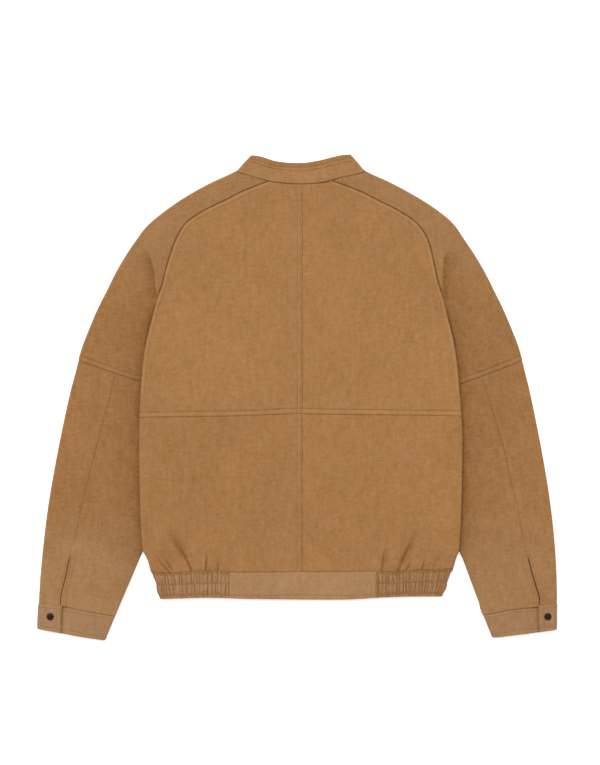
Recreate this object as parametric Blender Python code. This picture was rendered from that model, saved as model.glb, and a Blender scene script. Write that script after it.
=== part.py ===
"""Suede jacket with raglan sleeves, a stand collar and an elasticated hem band, laid flat with its back up.

+X runs across the back, +Y from the hem towards the collar, +Z up from the surface it lies on.
Every piece of suede is a closed wall between an outer and an inner grid of points. Both grids are worked
out from the garment's own lines: half widths, seams, folds and how high one layer lies on another.
All sizes are in millimetres, and MM turns them into metres in the meshes. On each side of the garment,
d is the distance from its centre line, so the left and the right half share one set of tables.
"""
import math

import bpy

MM = 0.001

# Driving dimensions
PANEL = 2.2          # wall of the sleeves and body, suede with its backing
BAND = 2.4           # wall of the collar, cuffs and hem band, which are doubled
SEAM = 0.2           # each edge keeps this far from its seam line
LAYER = 0.4          # air between two layers that lie on each other
LOFT = 3.4           # air between the front and the back in the middle of the body
SIDE_LOFT = 1.2      # the same where the body lies on the sleeves
SLEEVE_CROWN = 8.2   # highest point across a sleeve
SLEEVE_EDGE = 7.0    # thickness of a sleeve at its outer fold
TUCKED = 2 * PANEL + LAYER            # thickness of a sleeve pressed under the body
LIFT = TUCKED + 2 * LAYER             # how far a tucked sleeve raises the front above the surface
LIFT_RUN = 55.0      # the front comes down beside the sleeve over this length
LIFT_END_Y = -276.0  # and is down everywhere at the hem band
CENTRE_X = 6.3       # the body's centre line: the left sleeve is spread a little wider than the right
CENTRE_Y = 0.7       # moves the garment's own y, as in the tables, to the middle of its length
BACK_SEAM_D = 2.7    # the centre back seam lies this far to the right of the centre line
LAP = 15.0           # the fronts, collar and hem band lap this far past the centre line
LAP_RAMP = 27.0      # and come down to the surface over this length

# Heights along the garment
NECK_Y = 340.8       # back neck seam at the centre
NECK_DIP = 4.5       # it lies this much lower there than at its ends
FRONT_NECK_Y = 270.0
FRONT_NECK_CURVE = 0.00873
NECK_ROWS_END_Y = 195.0   # above here the fronts' rows bend towards the neck seam
UNDERARM_Y = 83.0
RAGLAN_END_Y = 168.0  # below here the raglan seam rolls over the body's edge
YOKE_Y = -26.7
YOKE_SAG = 5.0
HEM_TOP_Y = -279.5
HEM_BOTTOM_Y = -321.9

# Half width of the back: the raglan seam down to the underarm, then the side fold
BACK_EDGE = (  # y, d
    (345.3, 51.7), (336, 75), (327, 96.8), (317, 115), (302, 146.4), (290, 168), (279, 184.5), (267, 194.6),
    (250, 203), (233, 209), (200, 219), (168, 228.4), (126, 237.4), (83, 247.7), (40, 253.4), (-20, 257.6),
    (-69, 258.9), (-165, 257.6), (-242, 253.6), (-261, 245.3), (-279.5, 240.2), (-298, 232.8), (-309, 231.2),
    (-322, 226.1),
)
# Half width of the fronts, which share the back's side fold below the underarm
FRONT_EDGE = (  # y, d
    (327.7, 81.3), (302, 120), (279, 155), (250, 183), (233, 194), (200, 208), (168, 220), (126, 234),
    (83, 247.7),
)
# Distance of the sleeve's hidden inner fold from the centre line, out past the body's edge at both ends
TUCK_LINE = (  # y, d
    (-330, 289), (-311.5, 282), (-283, 270.5), (-259.5, 261.3), (-241, 251.8), (-218, 236), (-184.3, 217.3),
    (-148, 206.5), (-110.7, 198.1), (-75, 194.5), (-37.1, 193.3), (14.1, 214.1), (50, 233), (83, 247.7),
    (126, 285), (155, 320),
)
# Outer fold of the sleeves, from the collar to the cuff
SLEEVE_EDGE_LINE = (  # y, d
    (361, 105), (356.6, 113.6), (352.8, 121.3), (346.9, 135.7), (330.9, 166.1), (314.9, 193.3),
    (298.9, 215.7), (282.9, 236.5), (266.9, 252.5), (250.9, 263.7), (234.9, 274.9), (202.9, 294.1),
    (170.9, 310.1), (138.9, 326.1), (106.9, 339.5), (74.9, 351.7), (42.9, 359.7), (10.9, 368.3),
    (-37.1, 378.9), (-101.1, 391.7), (-165.1, 402.9), (-229.1, 411.2), (-293.1, 417.3), (-332.3, 419.4),
    (-390, 421.4),
)
# Rows across a sleeve. Each runs from its inner end, which is the raglan seam or the hidden fold, out and up
# to the outer fold. The lower wall of the rows above the underarm ends at the front raglan seam.
UPPER_SLEEVE_ROWS = (  # inner y, outer y, front y
    (345.3, 361, 327.7), (336, 351.5, 319), (327, 341.2, 311), (317, 330.9, 302), (302, 314.9, 290),
    (290, 300.9, 279), (279, 287.3, 266), (267, 273.5, 250), (250, 255, 233), (233, 239.3, 217),
    (200, 208.3, 192), (168, 175, 165), (126, 137, 126), (83, 105, 83), (50, 83, 50), (14.1, 62.1, 14.1),
)
LOWER_SLEEVE_ROWS = (  # inner y, outer y
    (14.1, 62.1), (-37.1, 10), (-75, -27), (-110.7, -65), (-148, -105), (-184.3, -146), (-218, -190),
    (-241.4, -217), (-259.5, -236.7), (-283, -262), (-311.5, -291), (-349.3, -332.3),
)
# The seam along the lower sleeve, which opens into the cuff vent
SLEEVE_SEAM = (  # y, d
    (-335, 384.8), (-294, 377.6), (-255, 369.4), (-229, 364.5), (-62, 322), (-37, 314), (-6, 304),
    (34, 293.5), (60, 289),
)
VENT_Y = -254.0
VENT_HALF_WIDTH = 1.2

# How far the right sleeve lies closer in than the left one
RIGHT_DRAWN_IN = (  # y, d of the outer fold, d of the inner fold
    (-390, 13.5, 4.5), (-325, 10.6, 4.2), (-261, 7.4, 2.4), (-133, 5.8, 0), (-37, 4.2, 0), (60, 3.4, 0),
    (362, 1.2, 0),
)
SEAM_DRAWN_IN = (  # y, d of its long seam
    (-335, 1.6), (-306, 3.0), (-276, 5.4), (-250, 5.9), (-127, 4.6), (60, 2.7),
)

# Collar: its top edge lies above the back neck, and its ends run round to the centre front
COLLAR_TOP = ((0, 374.6), (22, 374.9), (44.8, 378.1), (56, 381.1), (67.2, 385), (79.7, 386.9))  # d, y
COLLAR_FRONT_TOP_Y = 304.0
COLLAR_FOLD = ((102.3, 361.6), (79.7, 386.9))  # seam end and top end of its side fold: d, y
COLLAR_FOLD_HOLLOW = 1.5
COLLAR_Z = 8.2       # top of the collar

# Hem band
HEM_Z = 8.0
ELASTIC_START_D = 117.5   # the gathered sides begin here, back and front
GATHERS = 46              # gathers in each elastic side, back and front together
GATHER_DEPTH = 1.3
ELASTIC_WALL = 3.0
ELASTIC_Z = 8.4

# Cuffs: their rows run square to the sleeve
CUFF_ROWS = (  # inner d, inner y, outer d, outer y
    (299.4, -349.8, 419.4, -332.8), (305.0, -363.0, 420.2, -346.0), (309.6, -376.0, 421.0, -359.4),
    (313.8, -388.2, 421.4, -371.8),
)
CUFF_LAPS = {-1: 38.0, 1: 30.0}      # length of each lapped tab from the outer fold
CUFF_RISE = 4.2      # how much higher the right cuff's inner corner lies
CUFF_UNDERLAP = 14.0
CUFF_LOW_Z = 2 * BAND + LAYER
CUFF_TAB_Z = 3 * BAND + 2 * LAYER
CUFF_CROWN_Z = 7.0
CUFF_INNER_FOLD = 3.3
SNAP_D = {-1: 400.9, 1: 395.2}
SNAP_Y = -351.8
SNAP_RADIUS = 5.6
SNAP_HEIGHT = 2.0

# Long soft fold in each sleeve beside the raglan seam
SLEEVE_FOLD = ((90, 0.0), (130, 0.5), (175, 1.0), (225, 1.0), (255, 0.5), (285, 0.0))  # y, strength
SLEEVE_FOLD_RIDGE = 0.9
SLEEVE_FOLD_VALLEY = 1.8

SUEDE = (0.392, 0.196, 0.072, 1.0)
BAND_SUEDE = (0.420, 0.224, 0.100, 1.0)
SLEEVE_SUEDE = (0.360, 0.175, 0.065, 1.0)
SNAP_METAL = (0.030, 0.014, 0.012, 1.0)


def spline(points):
    """A smooth curve through (key, value) pairs that never swings past them."""
    points = sorted(points)
    keys = [p[0] for p in points]
    values = [p[1] for p in points]
    steps = [(values[i + 1] - values[i]) / (keys[i + 1] - keys[i]) for i in range(len(keys) - 1)]
    slopes = [steps[0]]
    for before, after in zip(steps, steps[1:]):
        slopes.append(0.0 if before * after <= 0 else 2 * before * after / (before + after))
    slopes.append(steps[-1])

    def value(key):
        if key <= keys[0]:
            return values[0] + (key - keys[0]) * slopes[0]
        if key >= keys[-1]:
            return values[-1] + (key - keys[-1]) * slopes[-1]
        i = max(j for j in range(len(keys) - 1) if keys[j] <= key)
        width = keys[i + 1] - keys[i]
        t = (key - keys[i]) / width
        return (
            (1 + 2 * t) * (1 - t) ** 2 * values[i] + t * (1 - t) ** 2 * width * slopes[i]
            + t * t * (3 - 2 * t) * values[i + 1] + t * t * (t - 1) * width * slopes[i + 1]
        )

    return value


def smooth(t):
    t = min(1.0, max(0.0, t))
    return t * t * (3 - 2 * t)


def mix(a, b, t):
    return a + (b - a) * t


back_edge = spline(BACK_EDGE)
front_raglan = spline(FRONT_EDGE)
tuck_line = spline(TUCK_LINE)
sleeve_edge_line = spline(SLEEVE_EDGE_LINE)
sleeve_seam = spline(SLEEVE_SEAM)
collar_top = spline(COLLAR_TOP)
sleeve_fold = spline(SLEEVE_FOLD)
seam_drawn_in = spline(SEAM_DRAWN_IN)
outer_drawn_in = spline([(y, outer) for y, outer, inner in RIGHT_DRAWN_IN])
inner_drawn_in = spline([(y, inner) for y, outer, inner in RIGHT_DRAWN_IN])


def front_edge(y):
    return back_edge(y) if y <= UNDERARM_Y else front_raglan(y)


def sleeve_outer(side, y):
    return sleeve_edge_line(y) - (outer_drawn_in(y) if side > 0 else 0)


def sleeve_inner(side, y):
    return tuck_line(y) - (inner_drawn_in(y) if side > 0 else 0)


# Heights of the layers

def lift(d, y):
    """Height of the front's outer face: it rises where it lies on a tucked sleeve."""
    across = smooth((d - (tuck_line(y) - LIFT_RUN - 20)) / LIFT_RUN)
    return LIFT * across * smooth((y - LIFT_END_Y) / 36)


def side_loft(y):
    """Air between front and back at the side fold, which closes over the sleeve."""
    at_hem = smooth((-236 - y) / 40)
    above_underarm = smooth((y - UNDERARM_Y) / (RAGLAN_END_Y - UNDERARM_Y))
    return mix(SIDE_LOFT, LOFT, max(at_hem, above_underarm))


def loft(d, y):
    return mix(LOFT, side_loft(y), max(smooth((d - back_edge(y) + 90) / 80), lift(d, y) / LIFT))


def back_z(d, y):
    """Top of the back panels."""
    return lift(d, y) + 2 * PANEL + loft(d, y)


def lap_rise(side, d):
    """The right front lies on the left one along the centre front."""
    return (PANEL + LAYER) * smooth((LAP + 3 + LAP_RAMP - d) / LAP_RAMP) if side > 0 else 0.0


def side_turn(y):
    """How far the body's edge rolls over: not at all on the raglan seam, a quarter turn at the side fold."""
    return 0.5 * math.pi * smooth((RAGLAN_END_Y - y) / (RAGLAN_END_Y - UNDERARM_Y))


def side_radius(y):
    return PANEL + 0.5 * side_loft(y)


def sleeve_z(side, d, y, to_edge):
    """Top of a sleeve: low beside the body's edge, with its crown further out, lower again at its fold."""
    valley = mix(SLEEVE_EDGE, TUCKED, smooth((RAGLAN_END_Y + 10 - y) / (RAGLAN_END_Y - UNDERARM_Y)))
    out = d - back_edge(max(y, -245))
    z = mix(valley, SLEEVE_CROWN, smooth(out / 56))
    ridge = math.exp(-((out - 9) / 6) ** 2)
    trough = math.exp(-((out - 23) / 8) ** 2)
    z += max(0.0, sleeve_fold(y)) * (SLEEVE_FOLD_RIDGE * ridge - SLEEVE_FOLD_VALLEY * trough)
    return mix(SLEEVE_EDGE, z, smooth(to_edge / 35))


# Walls

class Wall:
    """A closed sheet of cloth: rows of outer points, each with the direction that its wall lies in."""

    def __init__(self, side, thickness):
        self.side, self.thickness = side, thickness
        self.outer, self.inner = [], []

    def row(self):
        self.outer.append([])
        self.inner.append([])

    def point(self, d, y, z, nd=0.0, ny=0.0, nz=1.0, depth=None):
        """Adds an outer point, given by its distance d from the centre line, and the inner one behind it."""
        depth = self.thickness if depth is None else depth
        x, y = CENTRE_X + self.side * d, CENTRE_Y + y
        self.outer[-1].append((x, y, z))
        self.inner[-1].append((x - self.side * nd * depth, y - ny * depth, z - nz * depth))

    def build(self, name, material, plain_inside=False):
        """Makes the object. With a plain inside, the inner face runs straight from first to last row."""
        inner = [self.inner[0], self.inner[-1]] if plain_inside else self.inner
        columns = len(self.outer[0])
        vertices = [p for row in self.outer for p in row] + [p for row in inner for p in row]
        first_inner = len(self.outer) * columns

        def out(r, c):
            return r * columns + c

        def inn(r, c):
            return first_inner + r * columns + c

        faces = []
        for r in range(len(self.outer) - 1):
            for c in range(columns - 1):
                faces.append((out(r, c), out(r, c + 1), out(r + 1, c + 1), out(r + 1, c)))
        for r in range(len(inner) - 1):
            for c in range(columns - 1):
                faces.append((inn(r, c), inn(r + 1, c), inn(r + 1, c + 1), inn(r, c + 1)))
        last_out, last_in = len(self.outer) - 1, len(inner) - 1
        for c in range(columns - 1):
            faces.append((out(0, c), inn(0, c), inn(0, c + 1), out(0, c + 1)))
            faces.append((out(last_out, c), out(last_out, c + 1), inn(last_in, c + 1), inn(last_in, c)))
        for c in (0, columns - 1):
            if plain_inside:
                ring = [out(r, c) for r in range(last_out + 1)] + [inn(r, c) for r in range(last_in, -1, -1)]
                faces.append(ring if c == 0 else ring[::-1])
                continue
            for r in range(last_out):
                quad = (out(r, c), out(r + 1, c), inn(r + 1, c), inn(r, c))
                faces.append(quad if c == 0 else quad[::-1])
        return solid(name, vertices, faces, material)


def solid(name, vertices, faces, material):
    mesh = bpy.data.meshes.new(name)
    mesh.from_pydata([(x * MM, y * MM, z * MM) for x, y, z in vertices], [], faces)
    mesh.materials.append(material)
    if signed_volume(mesh) < 0:
        mesh.flip_normals()
    mesh.shade_smooth()
    mesh.set_sharp_from_angle(angle=math.radians(40))
    obj = bpy.data.objects.new(name, mesh)
    bpy.context.collection.objects.link(obj)
    return obj


def signed_volume(mesh):
    total = 0.0
    for polygon in mesh.polygons:
        corners = [mesh.vertices[i].co for i in polygon.vertices]
        for b, c in zip(corners[1:], corners[2:]):
            total += corners[0].dot(b.cross(c))
    return total


def suede(name, colour, roughness=0.95, metallic=0.0):
    material = bpy.data.materials.new(name)
    material.use_nodes = True
    shader = material.node_tree.nodes["Principled BSDF"]
    shader.inputs["Base Color"].default_value = colour
    shader.inputs["Roughness"].default_value = roughness
    shader.inputs["Metallic"].default_value = metallic
    return material


def spread(start, end, count):
    return [mix(start, end, i / count) for i in range(count + 1)]


# Body

BACK_STATIONS = (0.0, 0.2, 0.4, 0.58, 0.74, 0.87, 0.95, 1.0)
FRONT_STATIONS = (0.0, 0.25, 0.5, 0.72, 0.9, 1.0)
FOLD_STEPS = 3


def back_distances(side, flat_end):
    """Both halves of the back meet at the centre back seam, right of the centre line."""
    return [mix(side * BACK_SEAM_D + SEAM, flat_end, station) for station in BACK_STATIONS]


def front_distances(side, flat_end):
    """The lap and its ramp come first, then stations out to the side."""
    ramp_end = LAP + 3 + LAP_RAMP
    return [-LAP, LAP + 3, LAP + 3 + 0.5 * LAP_RAMP] + [mix(ramp_end, flat_end, s) for s in FRONT_STATIONS]


def seam_shift(edge, y):
    """How far a panel's edge stays from a slanting seam line, measured along d."""
    return SEAM * math.hypot(1, (edge(y + 2) - edge(y - 2)) / 4)


def body_row(wall, distances, y_at, edge, y_edge, height, up):
    """One row of a body panel: flat stations from the middle out to the side, then the roll of its edge."""
    turn = max(0.0, side_turn(y_edge) - SEAM / side_radius(y_edge))
    radius = side_radius(y_edge)
    flat_end = edge(y_edge) - seam_shift(edge, y_edge) * math.cos(turn) - radius * math.sin(turn)
    wall.row()
    for d in distances(wall.side, flat_end):
        wall.point(d, y_at(d), height(d, y_at(d)), nz=up)
    y, end_z = y_at(flat_end), height(flat_end, y_at(flat_end))
    for step in range(1, FOLD_STEPS + 1):
        angle = turn * step / FOLD_STEPS
        flat_step = 0.0 if turn else 0.2 * SEAM * step / FOLD_STEPS
        out, level = math.sin(angle), math.cos(angle)
        z = end_z - up * radius * (1 - level)
        wall.point(flat_end + radius * out + flat_step, y, z, nd=out, nz=up * level)


def yoke_y(d):
    return YOKE_Y - YOKE_SAG * (1 - (1 - abs(d) / back_edge(YOKE_Y)) ** 2)


def build_back(side, word, material):
    upper = Wall(side, PANEL)
    rows = [y for y, d in BACK_EDGE if y > UNDERARM_Y] + [83, 48, 12]
    for y in rows:
        fade = smooth((y - 300) / 45)
        dip = NECK_DIP * fade
        body_row(upper, back_distances, lambda d, y=y, dip=dip: y - dip * (1 - (d / back_edge(y)) ** 2),
                 back_edge, y, back_z, 1)
    body_row(upper, back_distances, lambda d: yoke_y(d) + SEAM, back_edge, YOKE_Y, back_z, 1)
    upper.build(f"back_upper_{word}", material)

    lower = Wall(side, PANEL)
    body_row(lower, back_distances, lambda d: yoke_y(d) - SEAM, back_edge, YOKE_Y, back_z, 1)
    for y in (-69, -117, -165, -200, -222, -242, -251, -261, -270):
        body_row(lower, back_distances, lambda d, y=y: y, back_edge, y, back_z, 1)
    body_row(lower, back_distances, lambda d: HEM_TOP_Y + SEAM, back_edge, HEM_TOP_Y, back_z, 1)
    lower.build(f"back_lower_{word}", material)


def front_neck_y(d):
    """Front neck seam: a parabola across both fronts, then straight along the sleeve to the shoulder."""
    edge_y, edge_d = FRONT_EDGE[0]
    if d <= edge_d:
        return FRONT_NECK_Y + FRONT_NECK_CURVE * d * d
    return edge_y + (d - edge_d) * 1.36


def build_front(side, word, material):
    front = Wall(side, PANEL)

    def height(d, y):
        return lift(d, y) + lap_rise(side, d)

    rows = [front_y for inner_y, outer_y, front_y in UPPER_SLEEVE_ROWS if front_y >= UNDERARM_Y]
    rows += [50, 32, 14, -27, -69, -117, -165, -200, -222, -242, -251, -261, -270, HEM_TOP_Y + SEAM]
    top_y, top_d = FRONT_EDGE[0]
    for y in rows:
        dip = max(0.0, (y - NECK_ROWS_END_Y) / (top_y - NECK_ROWS_END_Y))

        def y_at(d, y=y, dip=dip):
            return y - dip * (top_y - front_neck_y(top_d * abs(d) / front_edge(y)))

        body_row(front, front_distances, y_at, front_edge, y, height, -1)
    front.build(f"front_{word}", material)


# Sleeves

OUTER_FOLD_STEPS = 5
INNER_FOLD_RADIUS = 0.5 * TUCKED


class SleeveRow:
    """A section across a sleeve, from its inner end at the raglan seam or hidden fold to its outer fold."""

    def __init__(self, side, inner_y, outer_y, front_y=None):
        self.side = side
        open_above = inner_y >= UNDERARM_Y
        self.inner = (sleeve_inner(side, inner_y), inner_y)
        self.front = self.inner
        if open_above:
            self.inner = (back_edge(inner_y) + seam_shift(back_edge, inner_y), inner_y)
            self.front = (front_edge(front_y) + seam_shift(front_edge, front_y), front_y)
        self.outer = (sleeve_outer(side, outer_y), outer_y)
        self.closed = smooth((RAGLAN_END_Y - inner_y) / (RAGLAN_END_Y - UNDERARM_Y))
        slope = (sleeve_outer(side, outer_y - 4) - sleeve_outer(side, outer_y + 4)) / 8
        length = math.hypot(1, slope)
        self.normal = (1 / length, slope / length)
        self.radius = 0.5 * SLEEVE_EDGE
        self.centre = tuple(end - n * self.radius for end, n in zip(self.outer, self.normal))
        self.length = math.dist(self.inner, self.centre)
        self.along = tuple((c - i) / self.length for c, i in zip(self.centre, self.inner))

    def inner_turn(self):
        turn = 0.5 * math.pi * self.closed
        return max(0.0, turn - SEAM / INNER_FOLD_RADIUS)

    def on_top(self, q):
        """Point on the upper wall, q from the inner end."""
        d, y = self.inner[0] + self.along[0] * q, self.inner[1] + self.along[1] * q
        return d, y, sleeve_z(self.side, d, y, self.length - q)

    def top_start(self):
        return INNER_FOLD_RADIUS * math.sin(self.inner_turn()) + SEAM * (1 if self.closed >= 1 else 0)

    def seam_q(self):
        """Where the lengthwise seam crosses this row."""
        q = 0.6 * self.length
        for _ in range(12):
            y = self.inner[1] + self.along[1] * q
            shift = seam_drawn_in(y) if self.side > 0 else 0
            q = (sleeve_seam(y) - shift - self.inner[0]) / self.along[0]
        return q

    def seam_gap(self, y):
        return mix(SEAM, VENT_HALF_WIDTH, smooth((VENT_Y - y) / 12))

    def upper_inner_arc(self, wall, steps):
        """The inner fold's upper half, from the underarm seam up."""
        turn, q0 = self.inner_turn(), self.top_start()
        top = self.on_top(q0)[2]
        for step in range(steps, 0, -1):
            angle = turn * step / steps
            q = q0 - INNER_FOLD_RADIUS * math.sin(angle) - (0 if turn else 0.05 * step / steps)
            z = top - INNER_FOLD_RADIUS * (1 - math.cos(angle))
            facing = -math.sin(angle)
            wall.point(self.inner[0] + self.along[0] * q, self.inner[1] + self.along[1] * q, z,
                       nd=self.along[0] * facing, ny=self.along[1] * facing, nz=math.cos(angle))

    def top(self, wall, q_from, q_to, stations):
        for station in stations:
            wall.point(*self.on_top(mix(q_from, q_to, station)))

    def outer_fold(self, wall):
        for step in range(1, OUTER_FOLD_STEPS):
            angle = math.pi * step / OUTER_FOLD_STEPS
            facing_d, facing_y = (n * math.sin(angle) for n in self.normal)
            wall.point(self.centre[0] + self.radius * facing_d, self.centre[1] + self.radius * facing_y,
                       self.radius * (1 + math.cos(angle)), nd=facing_d, ny=facing_y, nz=math.cos(angle))

    def bottom(self, wall, steps, arc_steps):
        """The lower wall on the surface, from the outer fold to the front raglan or underarm seam."""
        length = math.dist(self.centre, self.front)
        along = ((self.front[0] - self.centre[0]) / length, (self.front[1] - self.centre[1]) / length)
        turn = self.inner_turn()
        end = length - self.top_start()
        for station in spread(0, 1, steps):
            wall.point(self.centre[0] + along[0] * end * station, self.centre[1] + along[1] * end * station,
                       0.0, nz=-1)
        for step in range(1, arc_steps + 1):
            angle = turn * step / arc_steps
            q = end + INNER_FOLD_RADIUS * math.sin(angle) + (0 if turn else 0.05 * step / arc_steps)
            wall.point(self.centre[0] + along[0] * q, self.centre[1] + along[1] * q,
                       INNER_FOLD_RADIUS * (1 - math.cos(angle)),
                       nd=along[0] * math.sin(angle), ny=along[1] * math.sin(angle), nz=-math.cos(angle))


UPPER_STATIONS = (0.0, 0.07, 0.14, 0.22, 0.36, 0.58, 0.8, 1.0)
INNER_STATIONS = (0.0, 0.3, 0.6, 0.8, 1.0)


def shift_row(rows, index, shift):
    """Moves one end row of a list of (inner y, outer y, ...) rows along the sleeve to leave the seam open."""
    row = rows[index]
    rows[index] = (row[0] + shift, row[1] + shift) + tuple(row[2:])


def build_sleeve(side, word, material):
    rows = [tuple(row) for row in UPPER_SLEEVE_ROWS]
    shift_row(rows, -1, SEAM)
    upper = Wall(side, PANEL)
    for inner_y, outer_y, front_y in rows:
        row = SleeveRow(side, inner_y, outer_y, front_y)
        upper.row()
        row.upper_inner_arc(upper, 2)
        row.top(upper, row.top_start(), row.length, UPPER_STATIONS)
        row.outer_fold(upper)
        row.bottom(upper, 3, 2)
    upper.build(f"sleeve_upper_{word}", material)

    rows = [tuple(row) for row in LOWER_SLEEVE_ROWS]
    shift_row(rows, 0, -SEAM)
    shift_row(rows, -1, SEAM)
    inner, outer = Wall(side, PANEL), Wall(side, PANEL)
    for inner_y, outer_y in rows:
        row = SleeveRow(side, inner_y, outer_y)
        seam = row.seam_q()
        gap = row.seam_gap(row.on_top(seam)[1])
        inner.row()
        row.upper_inner_arc(inner, 2)
        row.top(inner, row.top_start(), seam - gap, INNER_STATIONS)
        outer.row()
        row.top(outer, seam + gap, row.length, (0.0, 0.35, 1.0))
        row.outer_fold(outer)
        row.bottom(outer, 3, 2)
    inner.build(f"sleeve_lower_inner_{word}", material)
    outer.build(f"sleeve_lower_outer_{word}", material)


# Cuffs

def build_cuff(side, word, material, snap_material):
    cuff = Wall(side, BAND)
    lap = CUFF_LAPS[side]
    for row, (inner_d, inner_y, outer_d, outer_y) in enumerate(CUFF_ROWS):
        if side > 0:
            inner_d -= inner_drawn_in(inner_y)
            outer_d -= outer_drawn_in(outer_y)
            inner_y += CUFF_RISE * (row / (len(CUFF_ROWS) - 1)) ** 2
        length = math.dist((inner_d, inner_y), (outer_d, outer_y))
        in_d, in_y = (inner_d - outer_d) / length, (inner_y - outer_y) / length
        tab_radius = 0.5 * CUFF_TAB_Z
        cuff.row()

        def add(q, z, n_along=0.0, nz=1.0):
            """A point q in from the outer fold."""
            cuff.point(outer_d + in_d * q, outer_y + in_y * q, z, nd=in_d * n_along, ny=in_y * n_along, nz=nz)

        inner_start = length - CUFF_INNER_FOLD
        crown_start = lap + 20
        for q, z in (
            (CUFF_UNDERLAP, CUFF_LOW_Z), (lap, CUFF_LOW_Z),
            (lap + 8, mix(CUFF_LOW_Z, CUFF_CROWN_Z, 0.5)), (crown_start, CUFF_CROWN_Z),
            (mix(crown_start, inner_start, 0.6), CUFF_CROWN_Z), (inner_start, 2 * CUFF_INNER_FOLD),
        ):
            add(q, z)
        for step in range(1, OUTER_FOLD_STEPS):
            angle = math.pi * step / OUTER_FOLD_STEPS
            add(inner_start + CUFF_INNER_FOLD * math.sin(angle), CUFF_INNER_FOLD * (1 + math.cos(angle)),
                math.sin(angle), math.cos(angle))
        for q in (inner_start, 0.5 * length, tab_radius):
            add(q, 0.0, nz=-1)
        for step in range(OUTER_FOLD_STEPS - 1, 0, -1):
            angle = math.pi * step / OUTER_FOLD_STEPS
            turn_out, turn_up = math.sin(angle), math.cos(angle)
            add(tab_radius * (1 - turn_out), tab_radius * (1 + turn_up), -turn_out, turn_up)
        for q in (tab_radius, 0.5 * lap, lap):
            add(q, CUFF_TAB_Z)
    cuff.build(f"cuff_{word}", material)

    profile = [(0.0, 0.0), (1.0, 0.0), (1.0, 0.35), (0.86, 0.75), (0.5, 0.95), (0.0, 1.0)]
    build_snap(f"cuff_snap_{word}", side, profile, snap_material)


def build_snap(name, side, profile, material):
    """A round domed cap, turned from its profile of (radius, height) fractions."""
    around = 16
    base = CUFF_TAB_Z + 0.3
    x, y = CENTRE_X + side * SNAP_D[side], CENTRE_Y + SNAP_Y
    vertices = [(x, y, base), (x, y, base + SNAP_HEIGHT)]
    rings = profile[1:-1]
    for radius, height in rings:
        for i in range(around):
            angle = 2 * math.pi * i / around
            reach = SNAP_RADIUS * radius
            rim = (x + reach * math.cos(angle), y + reach * math.sin(angle), base + SNAP_HEIGHT * height)
            vertices.append(rim)
    faces = []
    for i in range(around):
        j = (i + 1) % around
        faces.append((0, 2 + j, 2 + i))
        for ring in range(len(rings) - 1):
            low, high = 2 + ring * around, 2 + (ring + 1) * around
            faces.append((low + i, low + j, high + j, high + i))
        top = 2 + (len(rings) - 1) * around
        faces.append((top + i, top + j, 1))
    return solid(name, vertices, faces, material)


# Collar

def build_collar(material):
    radius = 0.5 * COLLAR_Z
    (seam_d, seam_y), (top_d, top_y) = COLLAR_FOLD
    fold_length = math.hypot(seam_d - top_d, top_y - seam_y)
    normal = ((top_y - seam_y) / fold_length, (seam_d - top_d) / fold_length)
    collar = Wall(1, BAND)

    def back_seam_y(d):
        edge_y, edge_d = BACK_EDGE[0]
        if d < edge_d:
            return NECK_Y + NECK_DIP * (d / edge_d) ** 2
        return edge_y + (d - edge_d) * 0.24

    def front_top_y(d):
        return COLLAR_FRONT_TOP_Y + (top_y - COLLAR_FRONT_TOP_Y) * (d / top_d) ** 2

    def centre(v):
        """Where the fold's roll starts, v from the seam to the top edge."""
        d = mix(seam_d, top_d, v) - COLLAR_FOLD_HOLLOW * 4 * v * (1 - v)
        return d - normal[0] * radius, mix(seam_y, top_y, v) - normal[1] * radius

    def back_point(v, a):
        end_d, end_y = centre(v)
        low_d, high_d = a * centre(0)[0], a * centre(1)[0]
        d = mix(low_d, high_d, v)
        y = mix(back_seam_y(low_d) + 0.4, collar_top(high_d), v)
        return a * end_d if a else d, y + (end_y - back_line_end(v)) * a ** 4

    def back_line_end(v):
        return mix(back_seam_y(centre(0)[0]) + 0.4, collar_top(centre(1)[0]), v)

    def front_point(v, a):
        end_d, end_y = centre(v)
        low_d, high_d = mix(-LAP, centre(0)[0], a), mix(-LAP, centre(1)[0], a)
        y = mix(front_neck_y(abs(low_d)) + 0.9, front_top_y(abs(high_d)), v)
        line_end = mix(front_neck_y(centre(0)[0]) + 0.9, front_top_y(centre(1)[0]), v)
        return mix(-LAP, end_d, a), y + (end_y - line_end) * a ** 4

    def add(side, d, y, z, nd=0.0, ny=0.0, nz=1.0):
        collar.point(side * d, y, z, nd=side * nd, ny=ny, nz=nz)

    front_span = LAP + centre(0)[0]
    front_stations = [(LAP + d) / front_span for d in front_distances(1, FRONT_EDGE[0][1])] + [1.0]
    for v in (0.0, 0.33, 0.67, 1.0):
        collar.row()
        for side in (-1, 1):
            front = []
            for a in front_stations:
                d, y = front_point(v, a)
                front.append((d, y, lap_rise(side, d) * (BAND + LAYER) / (PANEL + LAYER)))
            back = [back_point(v, a) for a in (1.0, 0.8, 0.6, 0.4, 0.2)]
            end = centre(v)
            steps = [math.pi * step / OUTER_FOLD_STEPS for step in range(OUTER_FOLD_STEPS - 1, 0, -1)]
            if side > 0:
                front, back, steps = front[::-1], back[::-1], steps[::-1]
                add(1, *back_point(v, 0.0), COLLAR_Z)
            for part in (("front", "fold", "back") if side < 0 else ("back", "fold", "front")):
                if part == "front":
                    for d, y, z in front:
                        add(side, d, y, z, nz=-1)
                elif part == "back":
                    for d, y in back:
                        add(side, d, y, COLLAR_Z)
                else:
                    for angle in steps:
                        facing = [n * math.sin(angle) for n in normal]
                        d, y = (e + radius * f for e, f in zip(end, facing))
                        add(side, d, y, radius * (1 + math.cos(angle)), *facing, math.cos(angle))
    collar.build("collar", material)


# Hem band

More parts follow.
